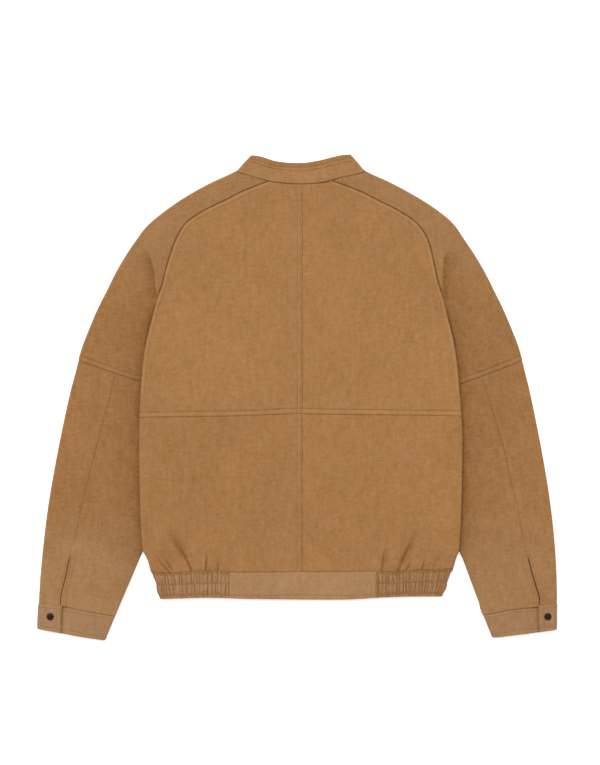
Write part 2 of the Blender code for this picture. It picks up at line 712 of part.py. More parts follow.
def build_hem_back(material):
    band = Wall(1, BAND)
    for y in (HEM_TOP_Y - SEAM, HEM_BOTTOM_Y):
        band.row()
        for d in spread(-(ELASTIC_START_D - SEAM), ELASTIC_START_D - SEAM, 8):
            band.point(d, y, HEM_Z)
    band.build("hem_band_back", material)


def build_hem_front(side, word, material):
    band = Wall(side, BAND)
    ramp = spread(LAP + 3, LAP + 3 + LAP_RAMP, 4)
    for y in (HEM_TOP_Y - SEAM, HEM_BOTTOM_Y):
        band.row()
        for d in [-LAP, 0.0] + ramp + [80, ELASTIC_START_D - SEAM]:
            band.point(d, y, lap_rise(side, d) * (BAND + LAYER) / (PANEL + LAYER), nz=-1)
    band.build(f"hem_band_front_{word}", material)


ELASTIC_ROWS = (  # fraction from the seam to the bottom edge, how full the gathers are there
    (0.0, 0.25), (0.25, 1.0), (0.5, 0.3), (0.76, 1.0), (1.0, 0.3),
)
GATHER_SHAPE = (0.0, 1.0, 0.35)   # height of each point across one gather


def build_elastic(side, word, material):
    """The gathered side of the hem band, folded round the body's side from the back to the front."""
    wall = Wall(side, ELASTIC_WALL)
    radius = 0.5 * ELASTIC_Z
    per_gather = len(GATHER_SHAPE)
    count = GATHERS * per_gather
    start = ELASTIC_START_D + SEAM
    for fraction, full in ELASTIC_ROWS:
        y = mix(HEM_TOP_Y - SEAM, HEM_BOTTOM_Y, fraction)
        flat = back_edge(y) - radius - start
        length = 2 * flat + math.pi * radius
        wall.row()
        for i in range(count + 1):
            gather = i / per_gather
            slant = 0.35 * math.sin(2.1 * gather + side) * (fraction - 0.5)
            uneven = 0.22 * math.sin(1.7 * gather)
            shift = (slant + uneven) * length / GATHERS if 0 < i < count else 0.0
            along = length * i / count + shift
            depth = GATHER_DEPTH * (0.75 + 0.25 * math.sin(2.9 * gather))
            sunk = depth * (1 - full * GATHER_SHAPE[i % per_gather])
            wall_left = ELASTIC_WALL - sunk
            if along <= flat:
                wall.point(start + along, y, ELASTIC_Z - sunk, depth=wall_left)
            elif along >= length - flat:
                wall.point(start + length - along, y, sunk, nz=-1, depth=wall_left)
            else:
                angle = (along - flat) / radius
                out, up = math.sin(angle), math.cos(angle)
                reach = radius - sunk
                wall.point(start + flat + reach * out, y, radius + reach * up, nd=out, nz=up, depth=wall_left)
    wall.build(f"hem_elastic_{word}", material, plain_inside=True)


def main():
    for obj in list(bpy.data.objects):
        bpy.data.objects.remove(obj)
    body = suede("suede body", SUEDE)
    sleeves = suede("suede sleeves", SLEEVE_SUEDE)
    bands = suede("suede bands", BAND_SUEDE)
    snap = suede("snap enamel", SNAP_METAL, roughness=0.35, metallic=0.6)
    for side, word in ((-1, "left"), (1, "right")):
        build_back(side, word, body)
        build_front(side, word, body)
        build_sleeve(side, word, sleeves)
        build_cuff(side, word, bands, snap)
        build_hem_front(side, word, bands)
        build_elastic(side, word, bands)
    build_hem_back(bands)
    build_collar(bands)


main()
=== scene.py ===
# %% [markdown]
# # A suede jacket, laid flat with its back up
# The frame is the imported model: plain walls of cloth that hold every piece's place. Each of them is replaced
# here by a finely drawn wall of suede on the same form, with its seams, stitch rows and folds.
# All sizes below are in millimetres, and MM turns them into Blender's metres.

# %% Load the frame
import math

import bpy
import numpy as np
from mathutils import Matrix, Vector
from mathutils.bvhtree import BVHTree


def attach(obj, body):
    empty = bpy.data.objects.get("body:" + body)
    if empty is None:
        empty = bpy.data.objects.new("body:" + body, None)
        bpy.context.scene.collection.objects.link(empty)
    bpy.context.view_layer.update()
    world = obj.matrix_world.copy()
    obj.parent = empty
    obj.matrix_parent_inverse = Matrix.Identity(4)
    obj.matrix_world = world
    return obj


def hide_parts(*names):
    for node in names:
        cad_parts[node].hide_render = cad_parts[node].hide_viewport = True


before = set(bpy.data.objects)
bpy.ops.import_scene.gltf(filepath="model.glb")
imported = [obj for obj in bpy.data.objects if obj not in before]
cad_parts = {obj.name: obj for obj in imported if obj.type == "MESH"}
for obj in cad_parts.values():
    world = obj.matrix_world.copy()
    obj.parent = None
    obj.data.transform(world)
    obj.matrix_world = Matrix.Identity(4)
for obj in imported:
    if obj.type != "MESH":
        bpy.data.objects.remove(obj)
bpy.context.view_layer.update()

MM = 0.001


def put(name, data):
    """Makes an object of some data and puts it into the scene."""
    made = bpy.data.objects.new(name, data)
    bpy.context.collection.objects.link(made)
    return made


# %% [markdown]
# ## The camera
# The jacket is seen from straight above. A long lens far away keeps the picture free of perspective, so
# that one millimetre of suede measures the same at the collar and at the cuffs.

# %% Camera
PIXEL = 1.6                      # millimetres of jacket for each pixel of the picture
PICTURE = (600, 765)
VIEW_CENTRE = (5.0, 23.6)
JACKET_LEVEL = 7.0
CAMERA_HEIGHT = 6000.0
SENSOR = 36.0

camera_data = bpy.data.cameras.new("camera")
camera_data.sensor_width = SENSOR
camera_data.lens = SENSOR * (CAMERA_HEIGHT - JACKET_LEVEL) / (PICTURE[1] * PIXEL)
camera = put("camera", camera_data)
camera.location = (VIEW_CENTRE[0] * MM, VIEW_CENTRE[1] * MM, CAMERA_HEIGHT * MM)
bpy.context.scene.camera = camera
print("lens:", round(camera_data.lens, 1), "mm")

# %% [markdown]
# ## Light and floor
# A white sky gives even light from all sides. A sun with a very wide disc, high behind the collar and a little
# to the left, stands for one large soft lamp: it lights the upper side of every seam and leaves its lower side
# in a faint shade. The floor is a pale light table, so the jacket casts hardly any shadow on it. Standard view
# keeps the colours as they are mixed.

# %% Light and floor
SKY = 0.62
LAMP_STRENGTH = 1.95
LAMP_PLACE = (-0.30, 0.72, 1.0)
LAMP_SPREAD = 1.0               # radians across the sun's disc
FLOOR = 9.0                      # metres from the middle to each edge of the floor
FLOOR_Z = -0.0004                # metres, just under the jacket, so that the two never share a plane
FLOOR_COLOUR = (0.93, 0.93, 0.93, 1.0)
FLOOR_GLOW = 0.4

scene = bpy.context.scene
scene.view_settings.view_transform = "Standard"
scene.view_settings.look = "None"
scene.world = bpy.data.worlds.new("studio")
scene.world.use_nodes = True
sky = scene.world.node_tree.nodes["Background"]
sky.inputs["Color"].default_value = (1.0, 1.0, 1.0, 1.0)
sky.inputs["Strength"].default_value = SKY

lamp_data = bpy.data.lights.new("soft lamp", "SUN")
lamp_data.angle = LAMP_SPREAD
lamp_data.energy = LAMP_STRENGTH
lamp = put("soft lamp", lamp_data)
lamp.rotation_euler = (-Vector(LAMP_PLACE)).to_track_quat("-Z", "Y").to_euler()

floor_mesh = bpy.data.meshes.new("floor")
corners = [(FLOOR * i, FLOOR * j, FLOOR_Z) for i, j in ((-1, -1), (1, -1), (1, 1), (-1, 1))]
floor_mesh.from_pydata(corners, [], [(0, 1, 2, 3)])
floor = put("floor", floor_mesh)
print("lamp:", LAMP_STRENGTH, "sky:", SKY)

# %% [markdown]
# ## The pattern's numbers
# A flat garment is drawn from its lines: half widths at each height, seams and folds. The same numbers as in
# the model are used, so every piece lands on its own solid. `d` is the distance from the centre line.

# %% Walls and layers
PANEL = 2.2                      # thickness of a panel with its lining, and of a doubled band
BAND = 2.4
SEAM = -0.08                     # sewn edges press into each other, so no gap shows the floor
LAYER = 0.4                      # air between two layers
LOFT = 3.4                       # how far the back stands off the front, in its middle and at its sides
SIDE_LOFT = 1.2
SLEEVE_CROWN = 8.2               # height of a sleeve along its middle, and at its outer fold
SLEEVE_EDGE = 7.0
TUCKED = 2 * PANEL + LAYER       # height of a sleeve under the body, which lifts the body
LIFT = TUCKED + 2 * LAYER
LIFT_RUN = 55.0                  # width of the slope where the body rises over a sleeve
LIFT_END_Y = -276.0
CENTRE_X = 6.3                   # where the pattern's own origin lies in the frame
CENTRE_Y = 0.7
BACK_SEAM_D = 2.7
LAP = 15.0                       # how far each front passes the centre line, and the slope beside it
LAP_RAMP = 27.0
NECK_END_Y = 345.3               # where the neck seam meets the raglan seams
NECK_Y = 340.8                   # the neck seam at its middle, and how much it dips there
NECK_DIP = 4.5
FRONT_NECK_Y = 270.0
FRONT_NECK_CURVE = 0.00873
NECK_ROWS_END_Y = 195.0
UNDERARM_Y = 83.0
RAGLAN_END_Y = 168.0
YOKE_Y = -26.7
HEM_TOP_Y = -279.5
HEM_BOTTOM_Y = -321.9
print("walls:", PANEL, "and", BAND, "mm; a sleeve lifts the body by", round(LIFT, 1), "mm")

# %% [markdown]
# The outline and the seams are tables of points. A garment is never quite symmetrical, so some lines have a
# table for each side, or one that says how far the right side departs from the left one.

# %% Tables of lines
BACK_EDGE = (  # y, d
    (345.3, 51.7), (336, 75), (327, 96.8), (317, 115), (302, 146.4), (290, 168), (279, 184.5), (267, 194.6),
    (250, 203), (233, 209), (200, 219), (168, 228.4), (126, 237.4), (83, 247.7), (40, 253.4), (-20, 257.6),
    (-69, 258.9), (-165, 257.6), (-242, 253.6), (-261, 245.3), (-279.5, 240.2), (-298, 232.8), (-309, 231.2),
    (-322, 226.1),
)
EDGE_SHIFT = {  # y, how far each side's edge lies outside that line
    -1: (
        (-400, 0), (-20, 0), (7, 0.4), (39, 0.6), (71, 0.9), (103, 1.4), (135, 1.2), (150, 0.4), (167, -2.2),
        (183, -3.2), (199, -1.9), (231, -1.5), (250, -2.3), (266, -2.5), (279, -2.1), (290, 0.5), (305, 1.0),
        (318, 0.8), (336, 0), (380, 0),
    ),
    1: (
        (-400, 0.2), (-322, 0.4), (-313, 1.2), (-306, 2.2), (-300, 3.3), (-293, 2.8), (-280, 2.3), (-270, 2.6),
        (-258, 2.2), (-249, 0.8), (-240, 0), (-69, 0), (-20, -0.8), (7, -1.4), (39, -1.5), (71, -1.8), (87, -1.3),
        (119, -1.1), (151, -1.8), (167, -3.4), (183, -4.2), (199, -3.0), (215, -1.4), (231, -0.2), (247, 0.9),
        (263, 0.6), (279, -0.4), (290, 1.6), (305, 2.7), (320, 3.0), (336, 1.8), (345.3, 0), (380, 0),
    ),
}
FRONT_EDGE = (
    (327.7, 81.3), (302, 120), (279, 155), (250, 183), (233, 194), (200, 208), (168, 220), (126, 234),
    (83, 247.7),
)
TUCK_LINE = (
    (-352, 297.6), (-331.5, 289.1), (-312.3, 281.0), (-293.1, 272.6), (-280.3, 267.2), (-267.5, 261.8),
    (-254.7, 256.3), (-241, 249.4), (-218, 236), (-184.3, 217.3),
    (-148, 206.5), (-110.7, 198.1), (-75, 194.5), (-37.1, 193.3), (14.1, 214.1), (50, 233), (83, 247.7),
    (126, 285), (155, 320),
)
SLEEVE_EDGE_LINE = (
    (361, 105), (356.6, 113.6), (352.8, 121.3), (346.9, 135.7), (330.9, 166.1), (314.9, 193.3),
    (298.9, 215.7), (282.9, 236.5), (266.9, 252.5), (250.9, 263.7), (234.9, 274.9), (202.9, 294.1),
    (170.9, 310.1), (138.9, 326.1), (106.9, 339.5), (74.9, 351.7), (42.9, 359.7), (10.9, 368.3),
    (-37.1, 378.9), (-101.1, 391.7), (-165.1, 402.9), (-229.1, 411.2), (-293.1, 417.3), (-332.3, 419.4),
    (-390, 421.4),
)
UPPER_SLEEVE_ROWS = (  # inner y, outer y, front y
    (345.3, 362.6, 327.7), (336, 351.8, 319), (327, 341.2, 311), (317, 330.9, 302), (302, 314.9, 290),
    (290, 300.9, 279), (279, 287.3, 266), (267, 273.5, 250), (250, 255, 233), (233, 239.3, 217),
    (200, 208.3, 192), (168, 175, 165), (126, 137, 126), (83, 105, 83), (50, 83, 50), (14.1, 62.1, 14.1),
)
LOWER_SLEEVE_ROWS = (  # inner y, outer y
    (14.1, 62.1), (-37.1, 10), (-75, -27), (-110.7, -65), (-148, -105), (-184.3, -146), (-218, -190),
    (-241.4, -217), (-259.5, -236.7), (-283, -262), (-311.5, -291), (-349.8, -332.8),
)
SLEEVE_SEAM = {  # y, d of the lower sleeve's long seam, which opens into the cuff vent
    -1: (
        (-336, 384.0), (-328, 384.6), (-309, 381.6), (-292, 377.1), (-255, 369.2), (-232, 363.4), (-212, 358.9),
        (-187, 353), (-162, 347.4), (-136, 340.8), (-117, 336.2), (-88, 329.2), (-69, 323.9), (-46, 317.9),
        (-24, 311.4), (-4, 305.8), (24, 300), (60, 291),
    ),
    1: (
        (-336, 380.4), (-332, 381.2), (-326, 382.2), (-306, 377.1), (-276, 368.3), (-250, 361.9), (-222, 355.8),
        (-202, 351.4), (-177, 346.6), (-155, 341), (-127, 335), (-93, 327.2), (-70, 321.4), (-53, 316),
        (-30, 309.1), (-5, 301.3), (9, 296.9), (60, 283),
    ),
}
YOKE_SEAM = (  # s, y, with s = d on the right and -d on the left
    (-258, -33.3), (-161, -31.6), (-113, -31.0), (-40, -28.4), (0, -27.0), (31, -28.0), (150, -29.3),
    (239, -30.4), (258, -31.5),
)
HEM_SEAM = (
    (-242, -280.2), (-231, -280.8), (-219, -282.0), (-208, -283.0), (-199, -281.2), (-180, -280.8), (-172, -279.8),
    (-162, -278.3), (-154, -279.7), (-148, -278.4), (-140, -278.0), (-132, -276.8), (-127, -279.6), (-116, -280.6),
    (0, -280.2), (103, -279.4), (131, -279.4), (152, -280.3), (160, -278.7), (174, -277.8), (184, -277.1),
    (195, -277.6), (205, -276.6), (215, -276.9), (235, -275.6),
)
HEM_BOTTOM = (
    (-230, -323.6), (-216, -323.4), (-184, -322.4), (-152, -321.6), (-120, -322.2), (-88, -323.4), (-56, -323.8),
    (0, -324.4), (40, -324.6), (72, -324.4), (103, -322.9), (120, -321.7), (151, -320.3), (180, -319.6),
    (230, -319.4),
)
COLLAR_TOP = (
    (-79.7, 386.6), (-66, 384.8), (-42, 377.7), (-26.4, 375.4), (-10.6, 374.4), (5.3, 374.7), (21, 376.8),
    (37, 380.0), (52.6, 384.0), (68.5, 387.1), (79.7, 388.0),
)
VENT_Y = -254.0                                       # the top of the cuff vents
VENT_HALF_WIDTH = {-1: 0.3, 1: 0.85}
CROSS_ENDS = {-1: (12.3, 58.3), 1: (6.1, 58.1)}       # inner and outer y of each sleeve's cross seam
CROSS_SAG = 2.2
CUFF_TOP_SHIFT = {-1: (-0.8, 2.0), 1: (1.2, 1.3)}     # how each cuff's seam departs from its rows' table
CUFF_LOW_SHIFT = {-1: (-1.6, 0.2), 1: (2.6, -1.0)}
CUFF_BOW = {-1: (1.9, 0.66), 1: (1.5, 0.40)}          # how far the seam bows upwards, and at which share of it
CUFF_BOW_REACH = 0.17
TAB_LIFT = {-1: 0.4, 1: 3.2}                          # how far each tab's end stands above the rest of the cuff
NECK_RISE = (2.4, 60.0, 18.0)                         # one higher place of the neck seam: height, s, reach
HIDDEN_FOLD_IN = 7.0                                  # how far the sleeve's hidden fold runs in under the body
RIGHT_OUTER_IN = (  # y, how much nearer to the middle the right sleeve's outer fold lies than the left one's
    (-390, 12.8), (-363, 11.9), (-350, 11.2), (-338, 10.2), (-325, 8.9), (-280, 7.1), (-239, 5.6), (-162, 4.2),
    (-85, 3.2), (-8, 2.6), (68, 1.4), (126, 1.2), (184, 1.0), (222, 1.4), (241, 1.5), (261, 1.1), (280, -2.0),
    (299, -3.0), (318, -1.2), (337, -0.5), (357, 0), (380, 0),
)
RIGHT_INNER_IN = (  # the same for its inner fold
    (-390, 5.4), (-350, 5.6), (-338, 5.0), (-331.5, 3.4), (-312, 2.4), (-299, 1.5), (-280, 0.3), (-255, -0.7),
    (-230, 0), (380, 0),
)
print("points on the body's edge:", len(BACK_EDGE), "and on a sleeve's:", len(SLEEVE_EDGE_LINE))

# %% [markdown]
# A smooth curve through each table gives the line at any height.

# %% Curves through the tables
def curve(points):
    """A smooth curve through (key, value) pairs that never swings past them."""
    keys, values = np.array(sorted(points), float).T
    width = np.diff(keys)
    step = np.diff(values) / width
    both = step[:-1] * step[1:]
    total = np.where(both > 0, step[:-1] + step[1:], 1.0)
    slope = np.concatenate(([step[0]], np.where(both > 0, 2 * both / total, 0.0), [step[-1]]))

    def value(key):
        key = np.asarray(key, float)
        i = np.clip(np.searchsorted(keys, key, side="right") - 1, 0, len(width) - 1)
        t = np.clip((key - keys[i]) / width[i], 0, 1)
        inside = ((1 + 2 * t) * (1 - t) ** 2 * values[i] + t * (1 - t) ** 2 * width[i] * slope[i]
                  + t * t * (3 - 2 * t) * values[i + 1] + t * t * (t - 1) * width[i] * slope[i + 1])
        below, above = np.minimum(key - keys[0], 0), np.maximum(key - keys[-1], 0)
        return inside + below * slope[0] + above * slope[-1]

    return value


def smooth(t):
    """0 up to t = 0 and 1 from t = 1 on, with a soft slope between them."""
    t = np.clip(t, 0.0, 1.0)
    return t * t * (3 - 2 * t)


def mix(a, b, t):
    """a at t = 0 and b at t = 1."""
    return a + (b - a) * t


def bump(t):
    """A soft hump: 1 at 0, and almost gone at 2."""
    return np.exp(-t * t)


def softened(line):
    """The same curve with its small unevenness averaged out."""
    reach = 5.0
    offsets = reach * np.array([-1.6, -0.8, 0, 0.8, 1.6])
    weights = bump(offsets / (1.4 * reach))

    def value(key):
        key = np.asarray(key, float)
        return sum(w * line(key + step) for w, step in zip(weights, offsets)) / weights.sum()

    return value


back_edge = curve(BACK_EDGE)
front_raglan = curve(FRONT_EDGE)
tuck_line = curve(TUCK_LINE)
sleeve_edge_line = softened(curve(SLEEVE_EDGE_LINE))
edge_shift = {side: softened(curve(points)) for side, points in EDGE_SHIFT.items()}
sleeve_seam = {side: curve(points) for side, points in SLEEVE_SEAM.items()}
yoke_y, hem_seam, hem_bottom, collar_top = (curve(t) for t in (YOKE_SEAM, HEM_SEAM, HEM_BOTTOM, COLLAR_TOP))
outer_drawn_in, inner_drawn_in = softened(curve(RIGHT_OUTER_IN)), curve(RIGHT_INNER_IN)


def neck_rise(s):
    """How much higher the neck seam lies at s than its even curve."""
    height, place, reach = NECK_RISE
    return height * bump((s - place) / reach)


def body_edge(side):
    """The edge of the body on one side, as a function of y."""
    return lambda y: back_edge(y) + edge_shift[side](y)


def front_edge(side):
    """The same for the fronts, whose raglan seam runs lower."""
    def edge(y):
        y = np.asarray(y, float)
        above = front_raglan(y) + edge_shift[side](UNDERARM_Y) * (1 - smooth((y - UNDERARM_Y) / 40))
        return np.where(y <= UNDERARM_Y, body_edge(side)(y), above)
    return edge


def sleeve_outer(side, y):
    """The sleeve's outer fold, as d at each y."""
    return sleeve_edge_line(y) - (outer_drawn_in(y) if side > 0 else 0)


def sleeve_inner(side, y):
    """The sleeve's hidden fold, which runs in under the body at once below the underarm."""
    line = tuck_line(y) - (inner_drawn_in(y) if side > 0 else 0)
    deeper = np.minimum(line, body_edge(side)(y) - HIDDEN_FOLD_IN * smooth((UNDERARM_Y - y) / 12))
    return mix(line, deeper, smooth((y - 12) / 30))


print("back width under the arms:", round(float(2 * back_edge(UNDERARM_Y))), "mm")

# %% [markdown]
# ## How high each layer lies
# The sleeves are tucked under the body's sides, so the body rises over them, and the sleeves sink beside
# the body's edge. These heights come before any fold or seam: they are the jacket's calm form.

# %% Heights
LIFT_EARLY = 20                 # the slope begins this far before the sleeve's hidden fold
LIFT_END_RUN = 36
SIDE_LOFT_END_Y = -236
FULL_UNDERARM_Y = 78
HEM_NARROWS_Y = -245            # the hem draws the body in below here, and the sleeves keep clear of that
CROWN_RUN = 56
SLEEVE_EDGE_RUN = 35


def lift(d, y):
    """How much the body is lifted by the sleeve that lies under it."""
    across = smooth((d - (tuck_line(y) - LIFT_RUN - LIFT_EARLY)) / LIFT_RUN)
    return LIFT * across * smooth((y - LIFT_END_Y) / LIFT_END_RUN)


def side_loft(y):
    """How far the back stands off the front at its sides: least between the underarm and the hem."""
    at_hem = smooth((SIDE_LOFT_END_Y - y) / 40)
    above_underarm = smooth((y - UNDERARM_Y) / (RAGLAN_END_Y - UNDERARM_Y))
    return mix(SIDE_LOFT, LOFT, np.maximum(at_hem, above_underarm))


def loft(d, y):
    """How far the back stands off the front anywhere: less beside its edges and over a sleeve."""
    return mix(LOFT, side_loft(y), np.maximum(smooth((d - back_edge(y) + 90) / 80), lift(d, y) / LIFT))


def back_z(d, y):
    """Height of the back's upper face."""
    return lift(d, y) + 2 * PANEL + loft(d, y)


def lap_rise(side, d):
    """The right front lies on the left one along the centre front."""
    return (PANEL + LAYER) * smooth((LAP + 3 + LAP_RAMP - d) / LAP_RAMP) if side > 0 else 0 * d


def band_rise(side, d):
    """The same for the collar and the hem band, which are thicker."""
    return lap_rise(side, d) * (BAND + LAYER) / (PANEL + LAYER)


def side_turn(y):
    """How far a body edge rolls over: not at all at the raglan seam, and a quarter turn below the underarm."""
    return 0.5 * math.pi * smooth((RAGLAN_END_Y - y) / (RAGLAN_END_Y - UNDERARM_Y))


def side_radius(y):
    """Radius of that roll: half of the back, the front and the air between them."""
    return PANEL + 0.5 * side_loft(y)


def tucked_height(y):
    """The sleeve's thickness under the body: at the underarm it fills the room up to the body."""
    return mix(TUCKED, LIFT, bump((y - FULL_UNDERARM_Y) / 38))


def sleeve_z(d, y, to_edge):
    """Height of a sleeve's upper face: it climbs from the body's edge to its crown and sinks to its outer fold."""
    valley = mix(SLEEVE_EDGE, tucked_height(y), smooth((RAGLAN_END_Y + 10 - y) / (RAGLAN_END_Y - UNDERARM_Y)))
    out = d - back_edge(np.maximum(y, HEM_NARROWS_Y))
    z = mix(valley, SLEEVE_CROWN, smooth(out / CROWN_RUN))
    return mix(SLEEVE_EDGE, z, smooth(to_edge / SLEEVE_EDGE_RUN))


def slant(edge, y):
    """How much longer a step across is than a step square to a slanting edge."""
    return float(np.hypot(1, (edge(y + 2) - edge(y - 2)) / 4))


print("body over a sleeve:", round(float(back_z(230, -40)), 1), "mm, sleeve beside it:",
      round(float(sleeve_z(260, -40, 90)), 1), "mm")

# %% [markdown]
# ## Lines on the cloth
# Seams, stitch rows and folds are drawn as lines in plan. Every point of a piece asks how near it is to such
# a line, and the answer shapes the suede there: it rolls into the seam, swells between seam and stitches, and
# puckers a little where the thread pulls.

# %% Lines and swells
SWELL_TABLE = 64                # humps along each side of the random table, before it repeats


def near(line, x, y):
    """Distance of points from a line, and how far along the line the nearest place is."""
    line = np.asarray(line, float)
    run = np.diff(line, axis=0)
    length = np.hypot(run[:, 0], run[:, 1])
    before = np.concatenate(([0.0], np.cumsum(length)[:-1]))
    px, py = np.ravel(x)[:, None] - line[:-1, 0], np.ravel(y)[:, None] - line[:-1, 1]
    t = np.clip((px * run[:, 0] + py * run[:, 1]) / length ** 2, 0, 1)
    gap = np.hypot(px - t * run[:, 0], py - t * run[:, 1])
    i = gap.argmin(axis=1)
    row = np.arange(len(i))
    along = before[i] + t[row, i] * length[i]
    return gap[row, i].reshape(np.shape(x)), along.reshape(np.shape(x))


def swell(x, y, size, seed):
    """Soft uneven humps, from -1 to 1, about this size apart."""
    table = np.random.default_rng(seed).uniform(-1, 1, (SWELL_TABLE, SWELL_TABLE))
    u, v = np.asarray(x, float) / size + 31.4, np.asarray(y, float) / size + 17.7
    i, j = np.floor(u).astype(int), np.floor(v).astype(int)
    fu, fv = smooth(u - i), smooth(v - j)

    def height(i, j):
        return table[i % SWELL_TABLE, j % SWELL_TABLE]

    return mix(mix(height(i, j), height(i + 1, j), fu), mix(height(i, j + 1), height(i + 1, j + 1), fu), fv)


def beside(line, gap):
    """The line that runs this far to the left of a line."""
    line = np.asarray(line, float)
    run = np.gradient(line, axis=0)
    run /= np.hypot(run[:, 0], run[:, 1])[:, None]
    return np.column_stack((line[:, 0] - run[:, 1] * gap, line[:, 1] + run[:, 0] * gap))


def down(edge, side, top, bottom, step):
    """A seam line down one side of the garment, as points (s, y), with s = side * d."""
    y = np.arange(top, bottom, -step)
    return np.column_stack((side * edge(y), y))


SIDES = ((-1, "left"), (1, "right"))
SIDE_ROW_END_Y = -12            # where the stitch row down each side fades out
HEM_REACH = 245                 # half the length of the hem line
CENTRE_ROWS = (3.0, 8.0)        # distances of the stitch rows from their seams
SIDE_ROW = 6.4
YOKE_ROW = 8.3
CROSS_ROW = 8.4
VENT_ROWS = {"inner": (4.0, 9.0), "outer": (4.0,)}
COLLAR_TOP_ROWS = (7.6, 12.6)
CUFF_ROWS_FROM = (5.0, 6.6)     # from a cuff's seam, and from its free edge
TAB_ROW = 8.3

across_yoke = np.linspace(-back_edge(YOKE_Y) + 1, back_edge(YOKE_Y) - 1, 90)
YOKE_LINE = np.column_stack((across_yoke, yoke_y(across_yoke)))
across_hem = np.linspace(-HEM_REACH, HEM_REACH, 246)
HEM_LINE = np.column_stack((across_hem, hem_seam(across_hem)))
CENTRE_BACK = np.array([(BACK_SEAM_D, 345.0), (BACK_SEAM_D, HEM_TOP_Y)])
RAGLAN = {side: down(body_edge(side), side, NECK_END_Y, UNDERARM_Y - 20, 4) for side, word in SIDES}
SIDE_LINE = {side: down(body_edge(side), side, NECK_END_Y, SIDE_ROW_END_Y, 4) for side, word in SIDES}
FRONT_RAGLAN = {side: down(front_edge(side), side, FRONT_EDGE[0][0], UNDERARM_Y, 5) for side, word in SIDES}


def sleeve_rows(side):
    """Each sleeve's tables of rows: outer y and front y by inner y, above and below its cross seam."""
    cross, (in_shift, out_shift) = CROSS_ENDS[side], CUFF_TOP_SHIFT[side]
    above = [*UPPER_SLEEVE_ROWS[:-1], (*cross, cross[0])]
    last = LOWER_SLEEVE_ROWS[-1]
    below = [cross, *LOWER_SLEEVE_ROWS[1:-1], (last[0] + in_shift, last[1] + out_shift)]
    return above, below


def bowed(side, share, sag, bow):
    """How far a seam across a sleeve lies above its straight line, at this share from its inner end."""
    height, place = CUFF_BOW[side]
    return -sag * 4 * share * (1 - share) + bow * height * bump((share - place) / CUFF_BOW_REACH)


def cross_line(side, row, sag, bow):
    """A seam line straight across a sleeve but for its sag or bow, from the row's inner y to its outer y."""
    inner_y, outer_y = row
    share = np.linspace(0, 1, 40)
    return np.column_stack((side * mix(sleeve_inner(side, inner_y), sleeve_outer(side, outer_y), share),
                            mix(inner_y, outer_y, share) + bowed(side, share, sag, bow)))


CROSS_SEAM = {side: cross_line(side, CROSS_ENDS[side], CROSS_SAG, 0.0) for side, word in SIDES}
CUFF_SEAM = {side: cross_line(side, sleeve_rows(side)[1][-1], 0.0, 1.0) for side, word in SIDES}
LENGTH_SEAM = {side: down(sleeve_seam[side], side, 52, -336, 6) for side, word in SIDES}
print("yoke seam:", len(YOKE_LINE), "points; raglan seam:", len(RAGLAN[1]), "points")

# %% [markdown]
# ## A piece of cloth
# Each piece is a closed wall: a grid of outer points, and behind each one an inner point in the direction
# that its wall lies in. A closed wall has real edges and a real thickness, which a single skin lacks.
# Rows and columns crowd together along the sewn edges, where all the fine shape is.

# %% The cloth builder
EDGE_STEPS = np.array([0, 0.3, 0.7, 1.2, 1.9, 2.8, 3.9, 5.1, 6.3, 7.5, 8.8, 10.3, 12.4])
ROLL = 1.2                      # the last of a flat edge, which rolls into the seam
AFTER_ROLL = EDGE_STEPS[4:] - ROLL
# Masks for the colour: painted shade in grooves, painted highlight with some paler tone, and painted shade with
# some darker tone.
MASKS = ("groove", "painted_highlight_and_tone", "shade")


def spaced(length, step=3.0, start=0.0, end=0.0, count=None):
    """Places from 0 to length, crowded at a sewn start or end; start and end scale the crowding."""
    head = EDGE_STEPS * start if start else np.array([0.0])
    tail = length - EDGE_STEPS[::-1] * end if end else np.array([float(length)])
    room = tail[0] - head[-1]
    inner = max(1, round(room / step)) if count is None else count - len(head) - len(tail) + 1
    return np.concatenate((head, np.linspace(head[-1], tail[0], inner + 1)[1:-1], tail))


